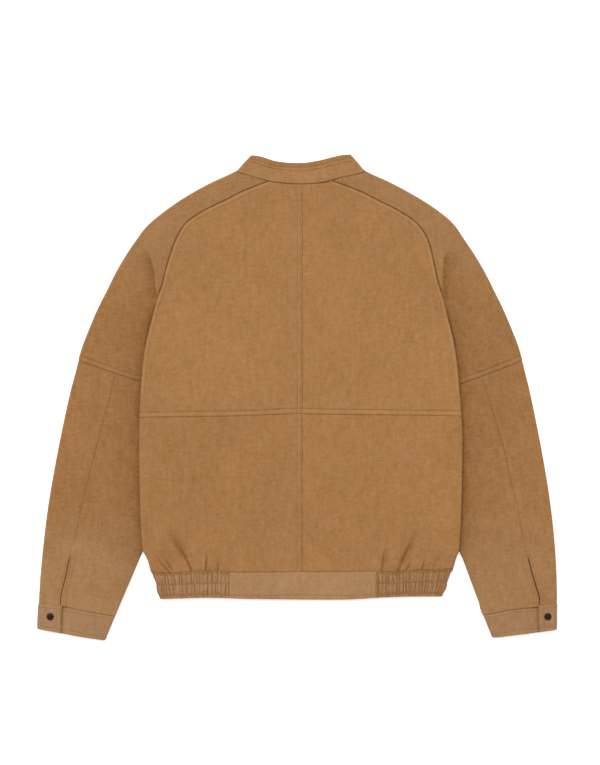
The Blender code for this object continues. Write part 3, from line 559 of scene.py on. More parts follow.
class Wall:
    """A closed wall, drawn row by row."""

    def __init__(self, side, wall=PANEL):
        self.side, self.wall, self.rows = side, wall, []
        self.hangs = []     # for a body panel, how much of each row's seam allowance hangs down

    def row(self, *parts):
        """Each part is arrays d, y, z and the outward direction nd, ny, nz, and its depth where it thins."""
        columns = []
        for part in parts:
            part = tuple(part) + ((self.wall,) if len(part) == 6 else ())
            columns.append(np.column_stack(np.broadcast_arrays(*(np.atleast_1d(v) for v in part))))
        self.rows.append(np.vstack(columns))

    def settle(self):
        """Ends the drawing: the rows become grids of places s, y, z and outward directions."""
        grid = np.array(self.rows)
        self.s, self.y, self.z = self.side * grid[..., 0], grid[..., 1], grid[..., 2]
        self.out = np.stack((self.side * grid[..., 3], grid[..., 4], grid[..., 5]), -1)
        self.up, self.depth = grid[..., 5], grid[..., 6]
        self.bend = np.zeros(self.s.shape)      # moves the whole wall in or out
        self.relief = np.zeros(self.s.shape)    # moves the outer face alone
        self.masks = {label: np.zeros(self.s.shape) for label in MASKS}
        place = np.stack((self.s, self.y, self.z), -1)
        across = np.linalg.norm(np.diff(place, axis=1), axis=-1)
        along = np.linalg.norm(np.diff(place, axis=0), axis=-1)
        self.across = np.pad(np.cumsum(across, axis=1), ((0, 0), (1, 0)))
        self.along = np.pad(np.cumsum(along, axis=0), ((1, 0), (0, 0)))
        return self

    def make(self, name, material, slot):
        """Makes the object: outer and inner faces, rims, a UV map in metres and the masks of painted shade and
        painted highlight.
        """
        rows, columns = self.s.shape
        place = np.stack((self.s, self.y, self.z), -1)
        outer = place + self.out * (self.bend + self.relief)[..., None]
        inner = place + self.out * (self.bend - self.depth)[..., None]
        points = np.concatenate((outer.reshape(-1, 3), inner.reshape(-1, 3)))
        points[:, 2] = np.maximum(points[:, 2], 0.0)
        points[:, 0] += CENTRE_X
        points[:, 1] += CENTRE_Y
        index = np.arange(rows * columns).reshape(rows, columns)
        back = index + rows * columns

        def quads(a, b, c, d):
            return np.stack((a, b, c, d), -1).reshape(-1, 4)

        def ribbon(line, line_in):
            return quads(line[:-1], line_in[:-1], line_in[1:], line[1:])

        faces = np.concatenate((
            quads(index[:-1, :-1], index[:-1, 1:], index[1:, 1:], index[1:, :-1]),
            quads(back[:-1, :-1], back[1:, :-1], back[1:, 1:], back[:-1, 1:]),
            ribbon(index[0], back[0]), ribbon(index[-1, ::-1], back[-1, ::-1]),
            ribbon(index[::-1, 0], back[::-1, 0]), ribbon(index[:, -1], back[:, -1]),
        ))
        mesh = bpy.data.meshes.new(name)
        mesh.from_pydata((points * MM).tolist(), [], faces.tolist())
        a, b, c, d = (points[faces[:, i]] for i in range(4))
        if np.sum(a * (np.cross(b, c) + np.cross(c, d))) < 0:       # faces that look inwards: a negative volume
            mesh.flip_normals()
        self.attributes(mesh)
        mesh.materials.append(material)
        mesh.shade_smooth()
        mesh.set_sharp_from_angle(angle=math.radians(55))
        piece = put(name, mesh)
        self.measure(piece)
        return piece

    def attributes(self, mesh):
        for label, values in self.masks.items():
            layer = mesh.attributes.new(label, "FLOAT", "POINT")
            values = np.clip(values, 0, 1).ravel()
            layer.data.foreach_set("value", np.concatenate((values, values)).astype(np.float32))
        uv = np.stack((self.across, self.along), -1).reshape(-1, 2) * MM
        uv = np.concatenate((uv, uv))
        corner = np.empty(len(mesh.loops), np.int32)
        mesh.loops.foreach_get("vertex_index", corner)
        layer = mesh.uv_layers.new(name="cloth")
        layer.data.foreach_set("uv", uv[corner].astype(np.float32).ravel())

    def measure(self, piece):
        """Keeps the size that the piece is cut to: width, length and area, in metres, of the flat blank."""
        place = np.stack((self.s, self.y, self.z), -1) - self.out * (0.5 * self.depth)[..., None]
        one = np.cross(place[1:, 1:] - place[:-1, :-1], place[1:, :-1] - place[:-1, 1:])
        area = float(0.5 * np.linalg.norm(one, axis=-1).sum())
        width = float(self.across[:, -1].max())
        length = max(float(np.median(self.along[-1])), 1.01 * area / width)
        piece["cut"] = [width * MM, length * MM, area * MM * MM]


def tell(piece):
    print(piece.name, len(piece.data.polygons), "faces, cut", [round(v, 3) for v in piece["cut"]])


print("rows along a sewn edge, in mm:", EDGE_STEPS.tolist())

# %% [markdown]
# On top of its wall a cloth has ways to shape itself: seams with their stitch rows, creases, and folds that
# drop away on one side. Each also marks where painted shade darkens the suede and where a painted highlight makes
# it paler.

# %% Seams, creases and folds
GROOVE_DEPTH = 0.95
GROOVE_WIDTH = 1.15
RIDGE_HEIGHT = 0.36
STITCH_DEPTH = 0.42
PUCKER = 0.13                   # how much the thread's pull dents the suede beside a stitch row


class Cloth(Wall):
    """A wall of cloth that is shaped by its seams and folds."""

    def facing(self, above):
        """1 where the cloth faces up, or down for its lower side, and 0 where it faces the other way."""
        return smooth(0.5 + (2.5 * self.up if above else -2.5 * self.up))

    def mark(self, label, values):
        """Raises one of the masks of painted shade and painted highlight to these values, wherever they are higher.
        """
        self.masks[label] = np.maximum(self.masks[label], values)

    def sew(self, gap, along, stitches, weight=1.0, groove=1.0, seed=1, ridge=RIDGE_HEIGHT, pale=0.4, dark=0.5):
        """Shapes the cloth along a seam that lies gap away: the groove, the raised band and its stitch rows."""
        weight = np.broadcast_to(weight, gap.shape)
        uneven = 1 + 0.22 * swell(along, 0 * along + 3.1 * seed, 14, seed)
        self.relief -= weight * groove * GROOVE_DEPTH * bump(gap / GROOVE_WIDTH)
        # Painted shade in the seam's groove.
        self.mark("groove", weight * groove * bump(gap / 0.95))
        if not stitches:
            return
        last = stitches[-1]
        raised = smooth((gap - 0.2) / 1.8) * smooth((last + 1.4 - gap) / 1.8)
        self.relief += weight * uneven * ridge * raised * (self.up > -0.2)
        # A painted highlight on the raised band.
        self.mark("painted_highlight_and_tone", weight * raised * pale)
        for place in stitches:
            line = bump((gap - place) / 0.75)
            self.relief -= weight * STITCH_DEPTH * line
            # Painted shade in each stitch row.
            self.mark("groove", dark * weight * line)
        pull = swell(along, 0 * along, 7.5, seed + 40) + 0.6 * swell(along, 0 * along + 9, 3.6, seed + 41)
        self.relief += weight * PUCKER * pull * bump((gap - last) / 4.5) * (self.up > -0.2)

    def seam(self, line, stitches, above=True, weight=1.0, **more):
        """The same for a seam line in plan, on the upper or the lower side of the jacket."""
        gap, along = near(line, self.s, self.y)
        self.sew(gap, along, stitches, weight=weight * self.facing(above), **more)

    def crease(self, points, width, depth, above=True, rim=0.35, fades=(0.35, 0.3), sharp=0.0):
        """A soft trough along a line, with a low rim beside it, that fades over these shares of its two ends;
        painted shade darkens the trough.
        """
        gap, along = near(points, self.s, self.y)
        length = float(np.sum(np.hypot(*np.diff(np.asarray(points, float), axis=0).T)))
        ends = smooth(along / (fades[0] * length)) * smooth((length - along) / (fades[1] * length))
        ends = 0.12 * (ends > 0) + 0.88 * ends
        fall = ends * self.facing(above)
        self.bend -= depth * fall * (bump(gap / width) - rim * bump((gap - 2.1 * width) / width))
        # Painted shade in the trough, and with sharp a painted dark line along it.
        darker = 0.55 * min(1.3, max(0, depth))
        self.mark("shade", darker * fall * bump(gap / width))
        self.mark("groove", sharp * fall * bump(gap / 0.9))

    def creases(self, folds, **more):
        for points, width, depth in folds:
            self.crease(points, width, depth, **more)

    def unevenness(self, wide, narrow, seed):
        """The slight waves of laid suede, of a wide and of a narrow size."""
        waves = 0.16 * swell(self.s, self.y, wide, seed) + 0.07 * swell(self.s, self.y, narrow, seed + 1)
        self.bend += waves * self.facing(True)

    def fold(self, points, depth, run, away):
        """A fold that drops away on one side of a line: the cloth stands on the near side, and lies low and in
        painted shade beyond.
        """
        points = np.asarray(points, float)
        gap, along = near(points, self.s, self.y)
        run_line = np.diff(points, axis=0)
        middle = 0.5 * (points[1:] + points[:-1])
        which = np.abs(self.y[..., None] - middle[:, 1]).argmin(-1)
        side = run_line[which, 0] * (self.y - middle[which, 1]) - run_line[which, 1] * (self.s - middle[which, 0])
        beyond = np.where(side * away > 0, gap, -gap)
        length = float(np.sum(np.hypot(run_line[:, 0], run_line[:, 1])))
        ends = smooth(along / (0.3 * length)) * smooth((length - along) / (0.12 * length) + 0.3)
        fall = ends * self.facing(True)
        self.bend += fall * depth * (0.28 * bump((beyond + 3.2) / 3.0)
                                     - smooth((beyond + 1.2) / 3.2) * np.exp(-np.maximum(beyond, 0) / run))
        beyond = np.maximum(beyond, -1.2)
        far = np.maximum(beyond, 0)
        # Painted shade on the low side beyond the fold, strongest beside it.
        darker = 0.85 * np.exp(-far / (0.6 * run)) + 0.33 * np.exp(-far / (2.4 * run))
        self.mark("shade", fall * smooth((beyond + 1.2) / 2.0) * darker)


print("a seam is", GROOVE_DEPTH, "mm deep, and a stitch row", STITCH_DEPTH, "mm")

# %% [markdown]
# ## Small tools for node trees
# Materials and the stitches below are node trees. A few functions keep their wiring short.

# %% Node helpers
def link(tree, *sockets):
    """Joins sockets, which are given in turn as source, target, source, target."""
    for source, target in zip(sockets[::2], sockets[1::2]):
        tree.links.new(source, target)


def node(tree, kind, **values):
    """Adds a node to a tree and sets its own properties."""
    made = tree.nodes.new(kind)
    for key, value in values.items():
        setattr(made, key, value)
    return made


def fill(made, **inputs):
    """Sets a node's inputs by their names, with _ for each space."""
    for key, value in inputs.items():
        made.inputs[key.replace("_", " ")].default_value = value
    return made


def noise(tree, coords, scale, detail, roughness):
    made = fill(node(tree, "ShaderNodeTexNoise"), Scale=scale, Detail=detail, Roughness=roughness)
    link(tree, coords, made.inputs["Vector"])
    return made.outputs["Fac"]


def maths(tree, operation, a, b, clamp=False):
    """One step of arithmetic on numbers or sockets."""
    made = node(tree, "ShaderNodeMath", operation=operation, use_clamp=clamp)
    for socket, value in zip(made.inputs, (a, b)):
        if isinstance(value, (int, float)):
            socket.default_value = value
        else:
            link(tree, value, socket)
    return made.outputs["Value"]


def blend_colour(tree, factor, a, b, kind="MIX"):
    made = node(tree, "ShaderNodeMix", data_type="RGBA", blend_type=kind)
    for socket, value in ((made.inputs["Factor"], factor), (made.inputs[6], a), (made.inputs[7], b)):
        if isinstance(value, (int, float, tuple)):
            socket.default_value = value
        else:
            link(tree, value, socket)
    return made.outputs[2]


def signed(tree, value, strength):
    """Turns a noise value of 0 to 1 into a change of plus or minus strength."""
    return maths(tree, "MULTIPLY", maths(tree, "SUBTRACT", value, 0.5), 2 * strength)


def add_socket(tree, label, kind, value=None, in_out="INPUT"):
    """Adds an input or output to a node group, with its value where nothing is linked to it."""
    made = tree.interface.new_socket(label, in_out=in_out, socket_type="NodeSocket" + kind)
    if value is not None:
        made.default_value = value


print("node helpers: link, node, fill, noise, maths, blend_colour, signed, add_socket")

# %% [markdown]
# ## Suede
# Suede is the fluffed inner side of a hide. Its nap scatters light, so it has no gloss, and it shows soft
# clouds where it was brushed one way or another, and short fibres. Painted shade darkens it deep in the seams,
# in creases and valleys and beside raised parts, and a painted highlight makes it paler on raised edges and
# crests; the same masks also make some whole parts a little darker and some a little paler. That is one effect
# with different tints, so it is a node group with inputs.

# %% The nap as a node group
nap = bpy.data.node_groups.new("suede nap", "ShaderNodeTree")
# The deep colour is what painted shade mixes towards, and the pale colour is what painted highlights mix towards.
for label, kind, value in (
    ("Colour", "Color", (0.39, 0.2, 0.075, 1.0)), ("Deep colour", "Color", (0.14, 0.05, 0.012, 1.0)),
    ("Painted highlight colour", "Color", (0.5, 0.3, 0.15, 1.0)), ("Clouds", "Float", 0.08), ("Fibres", "Float", 0.1),
    ("Hue drift", "Float", 0.5), ("Nap size", "Float", 900.0),
):
    add_socket(nap, label, kind, value)
for label, kind in (("Colour", "Color"), ("Roughness", "Float"), ("Height", "Float")):
    add_socket(nap, label, kind, in_out="OUTPUT")

given = node(nap, "NodeGroupInput").outputs
result = node(nap, "NodeGroupOutput").inputs
coords = node(nap, "ShaderNodeTexCoord").outputs["Object"]


def stretched(scale):
    """The nap's coordinates at another scale along each axis, for streaks that lie one way."""
    made = fill(node(nap, "ShaderNodeMapping"), Scale=scale)
    link(nap, coords, made.inputs["Vector"])
    return made.outputs["Vector"]


brushed, crossed = stretched((1.0, 0.32, 1.0)), stretched((0.4, 1.0, 1.0))
FIBRE_TIPS = (0.40, 0.29, 0.20)         # the fibres' tips catch the light, greyer than the suede below them
wide = noise(nap, coords, 7.0, 2.0, 0.5)
cloud = noise(nap, coords, 24.0, 3.0, 0.55)
streak = noise(nap, brushed, 150.0, 3.0, 0.6)
cross_streak = noise(nap, crossed, 230.0, 2.0, 0.6)
tuft = noise(nap, coords, 330.0, 2.0, 0.6)
fibre = noise(nap, coords, 1000.0, 2.0, 0.7)
link(nap, given["Nap size"], fibre.node.inputs["Scale"])


def summed(tree, parts, strength):
    """Adds up several noises, each with its own share, and scales the sum by a strength."""
    total = None
    for value, share in parts:
        part = signed(tree, value, share)
        total = part if total is None else maths(tree, "ADD", total, part)
    return maths(tree, "MULTIPLY", total, strength)


clouds = summed(nap, ((wide, 1.1), (cloud, 1.0)), given["Clouds"])
fibres = summed(nap, ((streak, 0.9), (cross_streak, 0.8), (tuft, 0.8), (fibre, 1.3)), given["Fibres"])
# The three masks: painted shade in grooves and stitch rows; painted highlight, with some paler tone; painted shade,
# with some darker tone.
groove, painted_highlight_and_tone, shade = (node(nap, "ShaderNodeAttribute", attribute_name=label).outputs["Fac"] for label in MASKS)
# Painted highlight: the pale colour's share, more where the nap's clouds are paler.
highlit = maths(nap, "MULTIPLY", painted_highlight_and_tone, maths(nap, "ADD", 0.2, maths(nap, "MULTIPLY", cloud, 0.4)), clamp=True)
drift = maths(nap, "ADD", maths(nap, "MULTIPLY", noise(nap, coords, 46.0, 3.0, 0.6), 0.6),
              maths(nap, "MULTIPLY", noise(nap, crossed, 160.0, 2.0, 0.6), 0.4))
drift = maths(nap, "ADD", 0.5, maths(nap, "MULTIPLY", signed(nap, drift, 1.8), given["Hue drift"]), clamp=True)
warm_or_cool = blend_colour(nap, drift, (1.035, 0.98, 0.93, 1.0), (0.97, 1.005, 1.06, 1.0))
colour = blend_colour(nap, 1.0, given["Colour"], warm_or_cool, "MULTIPLY")
# The painted highlight goes on first, then the painted shade and the painted shade of the grooves.
colour = blend_colour(nap, highlit, colour, given["Painted highlight colour"])
for mask, share in ((shade, 0.5), (groove, 0.88)):
    colour = blend_colour(nap, maths(nap, "MULTIPLY", mask, share, clamp=True), colour, given["Deep colour"])
clouded = node(nap, "ShaderNodeVectorMath", operation="SCALE")
tips = node(nap, "ShaderNodeVectorMath", operation="SCALE")
tips.inputs[0].default_value = FIBRE_TIPS
toned = node(nap, "ShaderNodeVectorMath", operation="ADD")
link(
    nap,
    colour, clouded.inputs[0],
    maths(nap, "ADD", 1.0, clouds), clouded.inputs["Scale"],
    fibres, tips.inputs["Scale"],
    clouded.outputs["Vector"], toned.inputs[0],
    tips.outputs["Vector"], toned.inputs[1],
    toned.outputs["Vector"], result["Colour"],
    maths(nap, "ADD", 0.84, maths(nap, "MULTIPLY", fibre, 0.14)), result["Roughness"],
    maths(nap, "ADD", maths(nap, "MULTIPLY", fibre, 0.6), maths(nap, "MULTIPLY", streak, 0.4)), result["Height"],
)
print("nap group:", len(nap.nodes), "nodes")

# %% [markdown]
# The tints differ a little, as hides from different skins do: the sleeves are a shade darker than the back,
# and the cuffs and the hem band, which are two layers thick, a shade lighter and greyer.

# %% Suede in its tints, and thread
def principled(name):
    material = bpy.data.materials.new(name)
    material.use_nodes = True
    return material, material.node_tree, material.node_tree.nodes["Principled BSDF"]


def grain(tree, height, shader, strength, distance):
    """Gives a material the fine relief of its own surface."""
    bumps = fill(node(tree, "ShaderNodeBump"), Strength=strength, Distance=distance)
    link(tree, height, bumps.inputs["Height"], bumps.outputs["Normal"], shader.inputs["Normal"])


def suede(name, colour, highlight, clouds):
    """One tint of suede: its own colour, the paler one of its painted highlights, and how cloudy its nap is."""
    material, tree, shader = principled(name)
    group = node(tree, "ShaderNodeGroup", node_tree=nap)
    for label, value in (("Colour", colour), ("Deep colour", DEEP), ("Painted highlight colour", highlight)):
        group.inputs[label].default_value = (*value, 1.0)
    fill(group, Clouds=clouds, Fibres=0.13)
    link(tree, group.outputs["Colour"], shader.inputs["Base Color"],
         group.outputs["Roughness"], shader.inputs["Roughness"])
    grain(tree, group.outputs["Height"], shader, 0.55, 0.0004)
    fill(shader, Specular_IOR_Level=0.12, Sheen_Weight=0.16, Sheen_Roughness=0.45,
         Sheen_Tint=(1.0, 0.78, 0.55, 1.0))
    return material


# The colour that painted shade mixes towards, in seams, creases, valleys and beside raised parts.
DEEP = (0.150, 0.051, 0.007)
BODY_SUEDE = suede("body suede", (0.353, 0.175, 0.063), (0.45, 0.256, 0.120), 0.08)
SLEEVE_SUEDE = suede("sleeve suede", (0.322, 0.157, 0.056), (0.380, 0.222, 0.112), 0.08)
COLLAR_SUEDE = suede("collar suede", (0.352, 0.184, 0.071), (0.45, 0.262, 0.130), 0.06)
BAND_SUEDE = suede("band suede", (0.366, 0.202, 0.093), (0.45, 0.278, 0.150), 0.06)
CUFF_SUEDE = suede("cuff suede", (0.334, 0.184, 0.086), (0.42, 0.262, 0.143), 0.06)

THREAD, tree, shader = principled("stitching thread")
coords = node(tree, "ShaderNodeTexCoord").outputs["Object"]
twist = noise(tree, coords, 2400.0, 1.0, 0.5)
twisted = blend_colour(tree, twist, (0.290, 0.142, 0.052, 1.0), (0.370, 0.195, 0.082, 1.0))
link(tree, twisted, shader.inputs["Base Color"])
grain(tree, twist, shader, 0.3, 0.0001)
fill(shader, Roughness=0.62, Specular_IOR_Level=0.3)
print("materials:", BODY_SUEDE.name, SLEEVE_SUEDE.name, BAND_SUEDE.name, THREAD.name)

# %% [markdown]
# The floor is plain and pale, with no more than a faint unevenness, as a sheet of paper has.

# %% Floor finish
FLOOR_PAPER, tree, shader = principled("pale floor")
coords = node(tree, "ShaderNodeTexCoord").outputs["Object"]
paper = noise(tree, coords, 3.0, 2.0, 0.5)
link(tree, blend_colour(tree, paper, FLOOR_COLOUR, (0.945, 0.945, 0.945, 1.0)), shader.inputs["Base Color"])
fill(shader, Roughness=0.9, Specular_IOR_Level=0.0, Emission_Color=(1.0, 1.0, 1.0, 1.0),
     Emission_Strength=FLOOR_GLOW)
floor_mesh.materials.append(FLOOR_PAPER)
print("floor:", FLOOR_PAPER.name)

# %% [markdown]
# ## The back
# The back is four panels: two above the cross seam and two below it, with a seam down the middle. Panels are
# cut flat, so each row is a flat run that ends in a roll: into the raglan seam above, and round the side below.
# The left panels are stitched down twice along the centre back seam, and the upper ones along the cross seam.
# At the underarm, where the sleeve lies lower than the body, the seam allowance hangs down to it as a thin flap.

# %% Rows of a body panel
BACK_COLUMNS = 98
LOW_BACK_COLUMNS = 168
LOW_BACK_SPREAD = (0.43, 0.2)   # the inner 0.43 of its width takes 0.2 of them, so most lie above the gathers
FINE_LENGTH = 75.0              # the part of the lower panels above the hem that has finer rows
YOKE_CALM_Y = {True: 48, False: -69}    # up to here the rows of the upper and lower panels bend with the cross seam
ROLL_STEPS = 7


def body_row(cloth, start, y_edge, y_at, edge, height, up, allowance, count, spread=(0.5, 0.5)):
    """One row of a body panel: from the middle out to the side, the roll of its edge and its seam allowance.

    spread = (width, columns) says which share of its columns covers which share of its width from the middle.
    """
    radius = side_radius(y_edge)
    turn = max(0.0, side_turn(y_edge) - SEAM / radius)
    lean = slant(edge, y_edge)
    roll = ROLL * math.cos(turn) * lean
    flat_end = edge(y_edge) - SEAM * lean * math.cos(turn) - radius * math.sin(turn) - roll
    crowd = min(lean, (flat_end - start) / 40)
    tail = flat_end - AFTER_ROLL[::-1] * crowd
    head = start + EDGE_STEPS
    share = np.linspace(0, 1, count - len(head) - len(tail) + 1)[1:-1]
    middle = mix(head[-1], tail[0], np.interp(share, (0, spread[1], 1), (0, spread[0], 1)))
    d = np.concatenate((head, middle, tail, [flat_end]))
    y = y_at(d)
    step = np.arange(1, ROLL_STEPS + 1) / ROLL_STEPS
    angle = turn * step
    out, level = np.sin(angle), np.cos(angle)
    rolled = flat_end + roll * step
    rolled_z = height(d[-1:], y[-1:])[0] - up * radius * (1 - level)
    hangs, low_z = allowance(y_edge)
    tip = mix(rolled_z[-1] - 0.12 * up, min(rolled_z[-1], low_z), hangs)
    way = mix(turn, 0.5 * math.pi, hangs)
    cloth.row((d, y, height(d, y), 0.0, 0.0, float(up)),
              (rolled + radius * out, y_at(rolled), rolled_z, out, 0.0, up * level),
              (rolled[-1] + radius * out[-1], y_at(rolled[-1:])[0], mix(rolled_z[-1], tip, np.array([0.5, 1.0])),
               math.sin(way), 0.0, up * math.cos(way), mix(PANEL, 0.9, hangs)))
    cloth.hangs.append(hangs)


def allowance_of(first_y, run, heights):
    """How much of the hanging allowance there is at each y of a panel's edge, and how low it hangs."""
    low_z = curve(heights)
    return lambda y: (float(smooth((y - first_y) / run) * smooth((146 - y) / 14)), float(low_z(y)))


back_allowance = allowance_of(58, 8, (
    (50, 8.4), (62, 8.2), (70, 5.2), (76, 4.9), (83, 2.8), (100, 2.6), (120, 3.6), (135, 5.0), (150, 6.5)))
front_allowance = allowance_of(79, 6, ((78, 8.4), (86, 2.8), (100, 2.4), (120, 1.6), (135, 0.8), (150, 0.4)))


def press_allowance(cloth):
    """The hanging allowance keeps out of the groove that the seam draws."""
    cloth.relief[:, -2:] *= 1 - np.array(cloth.hangs)[:, None]


print("columns across an upper and a lower back panel:", BACK_COLUMNS, LOW_BACK_COLUMNS)

# %% [markdown]
# The lower panels end at the hem band, whose sides are gathered by elastic. Each fold there is a line of its
# own, with the fuller cloth between two folds as a low ridge.

# %% Folds above the gathers
HEM_FOLDS = {  # lines (s, y) of the folds above the gathered sides, then width and depth
    -1: (
        (((-210, -216), (-200, -235), (-192, -247), (-186, -254), (-181, -264), (-175.4, -277), (-174, -281)),
         1.9, 2.3),
        (((-214, -190), (-206, -222), (-192, -244), (-182, -262)), 8.0, 1.5),
        (((-234, -252), (-226, -264), (-217, -274), (-208, -284)), 2.0, 1.7),
        (((-225, -250), (-213, -266), (-205, -280)), 2.0, 1.5),
        (((-150.9, -240), (-151.0, -262), (-152.2, -280)), 1.7, 1.9),
        (((-133.5, -256), (-132.2, -279)), 1.4, 1.2),
        (((-120, -262), (-121, -280)), 3.0, 0.6),
    ),
    1: (
        (((184, -218), (176, -238), (170, -248), (164, -260), (159, -272), (156, -281)), 2.6, 2.1),
        (((192, -196), (180, -230), (168, -252), (160, -268)), 8.0, 1.3),
        (((136, -236), (132.5, -258), (131, -270), (129, -281)), 1.9, 1.9),
        (((142, -226), (136, -252), (133, -272)), 6.5, 0.9),
        (((178, -262), (170, -276), (168, -279)), 1.5, 1.3),
        (((199.5, -258), (194, -276), (193, -278)), 1.6, 1.4),
        (((228, -236), (220, -256), (213, -274)), 5.0, 0.9),
    ),
}
HEM_RIDGES = {  # the full cloth between those folds, with its width and height
    -1: (
        (((-226, -222), (-212, -242), (-200, -260), (-190, -276)), 7.5, 1.3),
        (((-168, -250), (-164, -264), (-163, -277)), 6.5, 0.8),
        (((-143, -256), (-142, -276)), 5.0, 0.7),
        (((-238, -262), (-229, -272), (-221, -281)), 4.0, 0.7),
    ),
    1: (
        (((152, -240), (148, -256), (144, -276)), 7.0, 0.9),
        (((196, -226), (184, -244), (176, -262), (172, -274)), 7.0, 1.0),
        (((208, -250), (205, -274)), 6.0, 0.6),
        (((121, -256), (121, -277)), 5.0, 0.6),
    ),
}


def hem_fullness(cloth, side):
    """Above the gathered sides the panel is fuller than the band, so it breaks into folds that fade upwards."""
    cloth.seam(HEM_LINE, (), groove=0.55)
    for points, width, depth in HEM_FOLDS[side]:
        cloth.crease(points, width, depth, fades=(0.7, 0.04), sharp=0.5 if width < 3 else 0.0)
    for points, width, height in HEM_RIDGES[side]:
        cloth.crease(points, width, -height, rim=0.0, fades=(0.6, 0.15))
    rise = np.maximum(cloth.y - HEM_TOP_Y, 0)
    full = smooth((np.abs(cloth.s) - 112) / 14)
    for height, narrowing, size, seed, reach, start in ((0.6, 0.12, 3.4, 31, 5, 2), (0.45, 0.25, 12, 41, 20, 4)):
        wave = swell(cloth.s, rise * narrowing, size, seed + side)
        cloth.bend += height * wave * full * np.exp(-rise / reach) * smooth(rise / start) * cloth.facing(True)
    # Soft upright bands of painted shade and painted highlight above the band, with no fold in the shape beneath
    # them.
    painted_drape_bands = swell(cloth.s, rise * 0.15, 15, 51 + side)
    low = np.exp(-rise / 55) * cloth.facing(True)
    cloth.mark("shade", 0.32 * np.maximum(painted_drape_bands, 0) * low)
    cloth.mark("painted_highlight_and_tone", 0.32 * np.maximum(-painted_drape_bands, 0) * low)


print("folds above the hem:", sum(len(folds) for folds in HEM_FOLDS.values()))

# %% [markdown]
# Now each back panel is drawn, seamed and made.

# %% Back panels
def back_panel(side, word, upper):
    cloth = Cloth(side)
    start = side * BACK_SEAM_D + SEAM
    if upper:
        places = NECK_END_Y - spaced(NECK_END_Y - YOKE_Y, 3.1, start=0.8, end=1.0)
    else:
        coarse = YOKE_Y - HEM_TOP_Y - FINE_LENGTH
        places = YOKE_Y - np.concatenate((
            spaced(coarse, 3.1, start=1.0)[:-1], coarse + spaced(FINE_LENGTH - SEAM, 1.3, end=1.0)))
    for y_edge in places:
        fade = smooth((y_edge - 300) / 45)
        into_yoke = min(1.0, max(0.0, (YOKE_CALM_Y[upper] - y_edge) / (YOKE_CALM_Y[upper] - YOKE_Y)))
        shift = SEAM if upper else -SEAM

        def y_at(d):
            dipped = y_edge + fade * (neck_rise(side * d) - NECK_DIP * (1 - (d / back_edge(y_edge)) ** 2))
            hem = (hem_seam(side * d) - HEM_TOP_Y) * smooth(1 - (y_edge - HEM_TOP_Y) / 26)
            return dipped + smooth(into_yoke) * (yoke_y(side * d) - YOKE_Y) + hem + shift * into_yoke

        columns = (BACK_COLUMNS,) if upper else (LOW_BACK_COLUMNS, LOW_BACK_SPREAD)
        body_row(cloth, start, y_edge, y_at, body_edge(side), back_z, 1, back_allowance, *columns)
    cloth.settle()
    cloth.seam(CENTRE_BACK, CENTRE_ROWS if side < 0 else (), ridge=0.35, groove=0.4, seed=3, dark=0.32)
    cloth.seam(RAGLAN[side], (), weight=smooth((cloth.y - 60) / 40), seed=5, pale=0.7)
    stitched = smooth((cloth.y - SIDE_ROW_END_Y) / 26)
    cloth.seam(SIDE_LINE[side], (SIDE_ROW,), weight=stitched, groove=0.0, seed=7, ridge=0.5, pale=0.7, dark=0.2)
    cloth.seam(YOKE_LINE, (YOKE_ROW,) if upper else (), groove=0.5, ridge=0.4, seed=9, dark=0.8)
    if upper:
        share = np.linspace(-1, 1, 30)
        cloth.seam(np.column_stack((np.linspace(-52, 52, 30), NECK_Y + NECK_DIP * share ** 2)), ())
    cloth.unevenness(95, 34, 21)
    press_allowance(cloth)
    if not upper:
        hem_fullness(cloth, side)
        cloth.mark("shade", 0.13)
    return cloth.make(f"back_{'upper' if upper else 'lower'}_suede_{word}", BODY_SUEDE, "body suede")


backs = {}
for side, word in SIDES:
    for upper in (True, False):
        piece = back_panel(side, word, upper)
        backs[side, upper] = piece
        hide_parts(f"back_{'upper' if upper else 'lower'}_{word}")
        tell(piece)

# %% [markdown]
# ## The fronts
# The fronts lie underneath and carry the whole jacket. They are drawn as the back is, with coarser rows, and
# have the soft folds that a front takes when it lies on a table under its own sleeves.

# %% Fronts
FRONT_COLUMNS = 62


def front_neck_y(d):
    """The fronts' neck seam, which dips deep in the middle and climbs to the raglan seams."""
    edge_y, edge_d = FRONT_EDGE[0]
    return np.where(d <= edge_d, FRONT_NECK_Y + FRONT_NECK_CURVE * d * d, edge_y + (d - edge_d) * 1.36)


FRONT_FOLDS = {
    -1: ((((-150, 60), (-120, 20), (-100, -40)), 9, 0.9), (((-190, -120), (-160, -180), (-150, -230)), 8, 0.8),
         (((-60, 190), (-70, 150), (-66, 110)), 7, 0.7), (((-200, -238), (-190, -272)), 3, 0.9),
         (((-150, -246), (-154, -275)), 3, 0.8)),
    1: ((((160, 90), (140, 40), (118, -10)), 9, 0.9), (((176, -100), (170, -160), (150, -215)), 8, 0.8),
        (((72, 200), (78, 150)), 7, 0.6), (((210, -236), (200, -274)), 3, 0.9),
        (((140, -250), (146, -276)), 3, 0.7)),
}


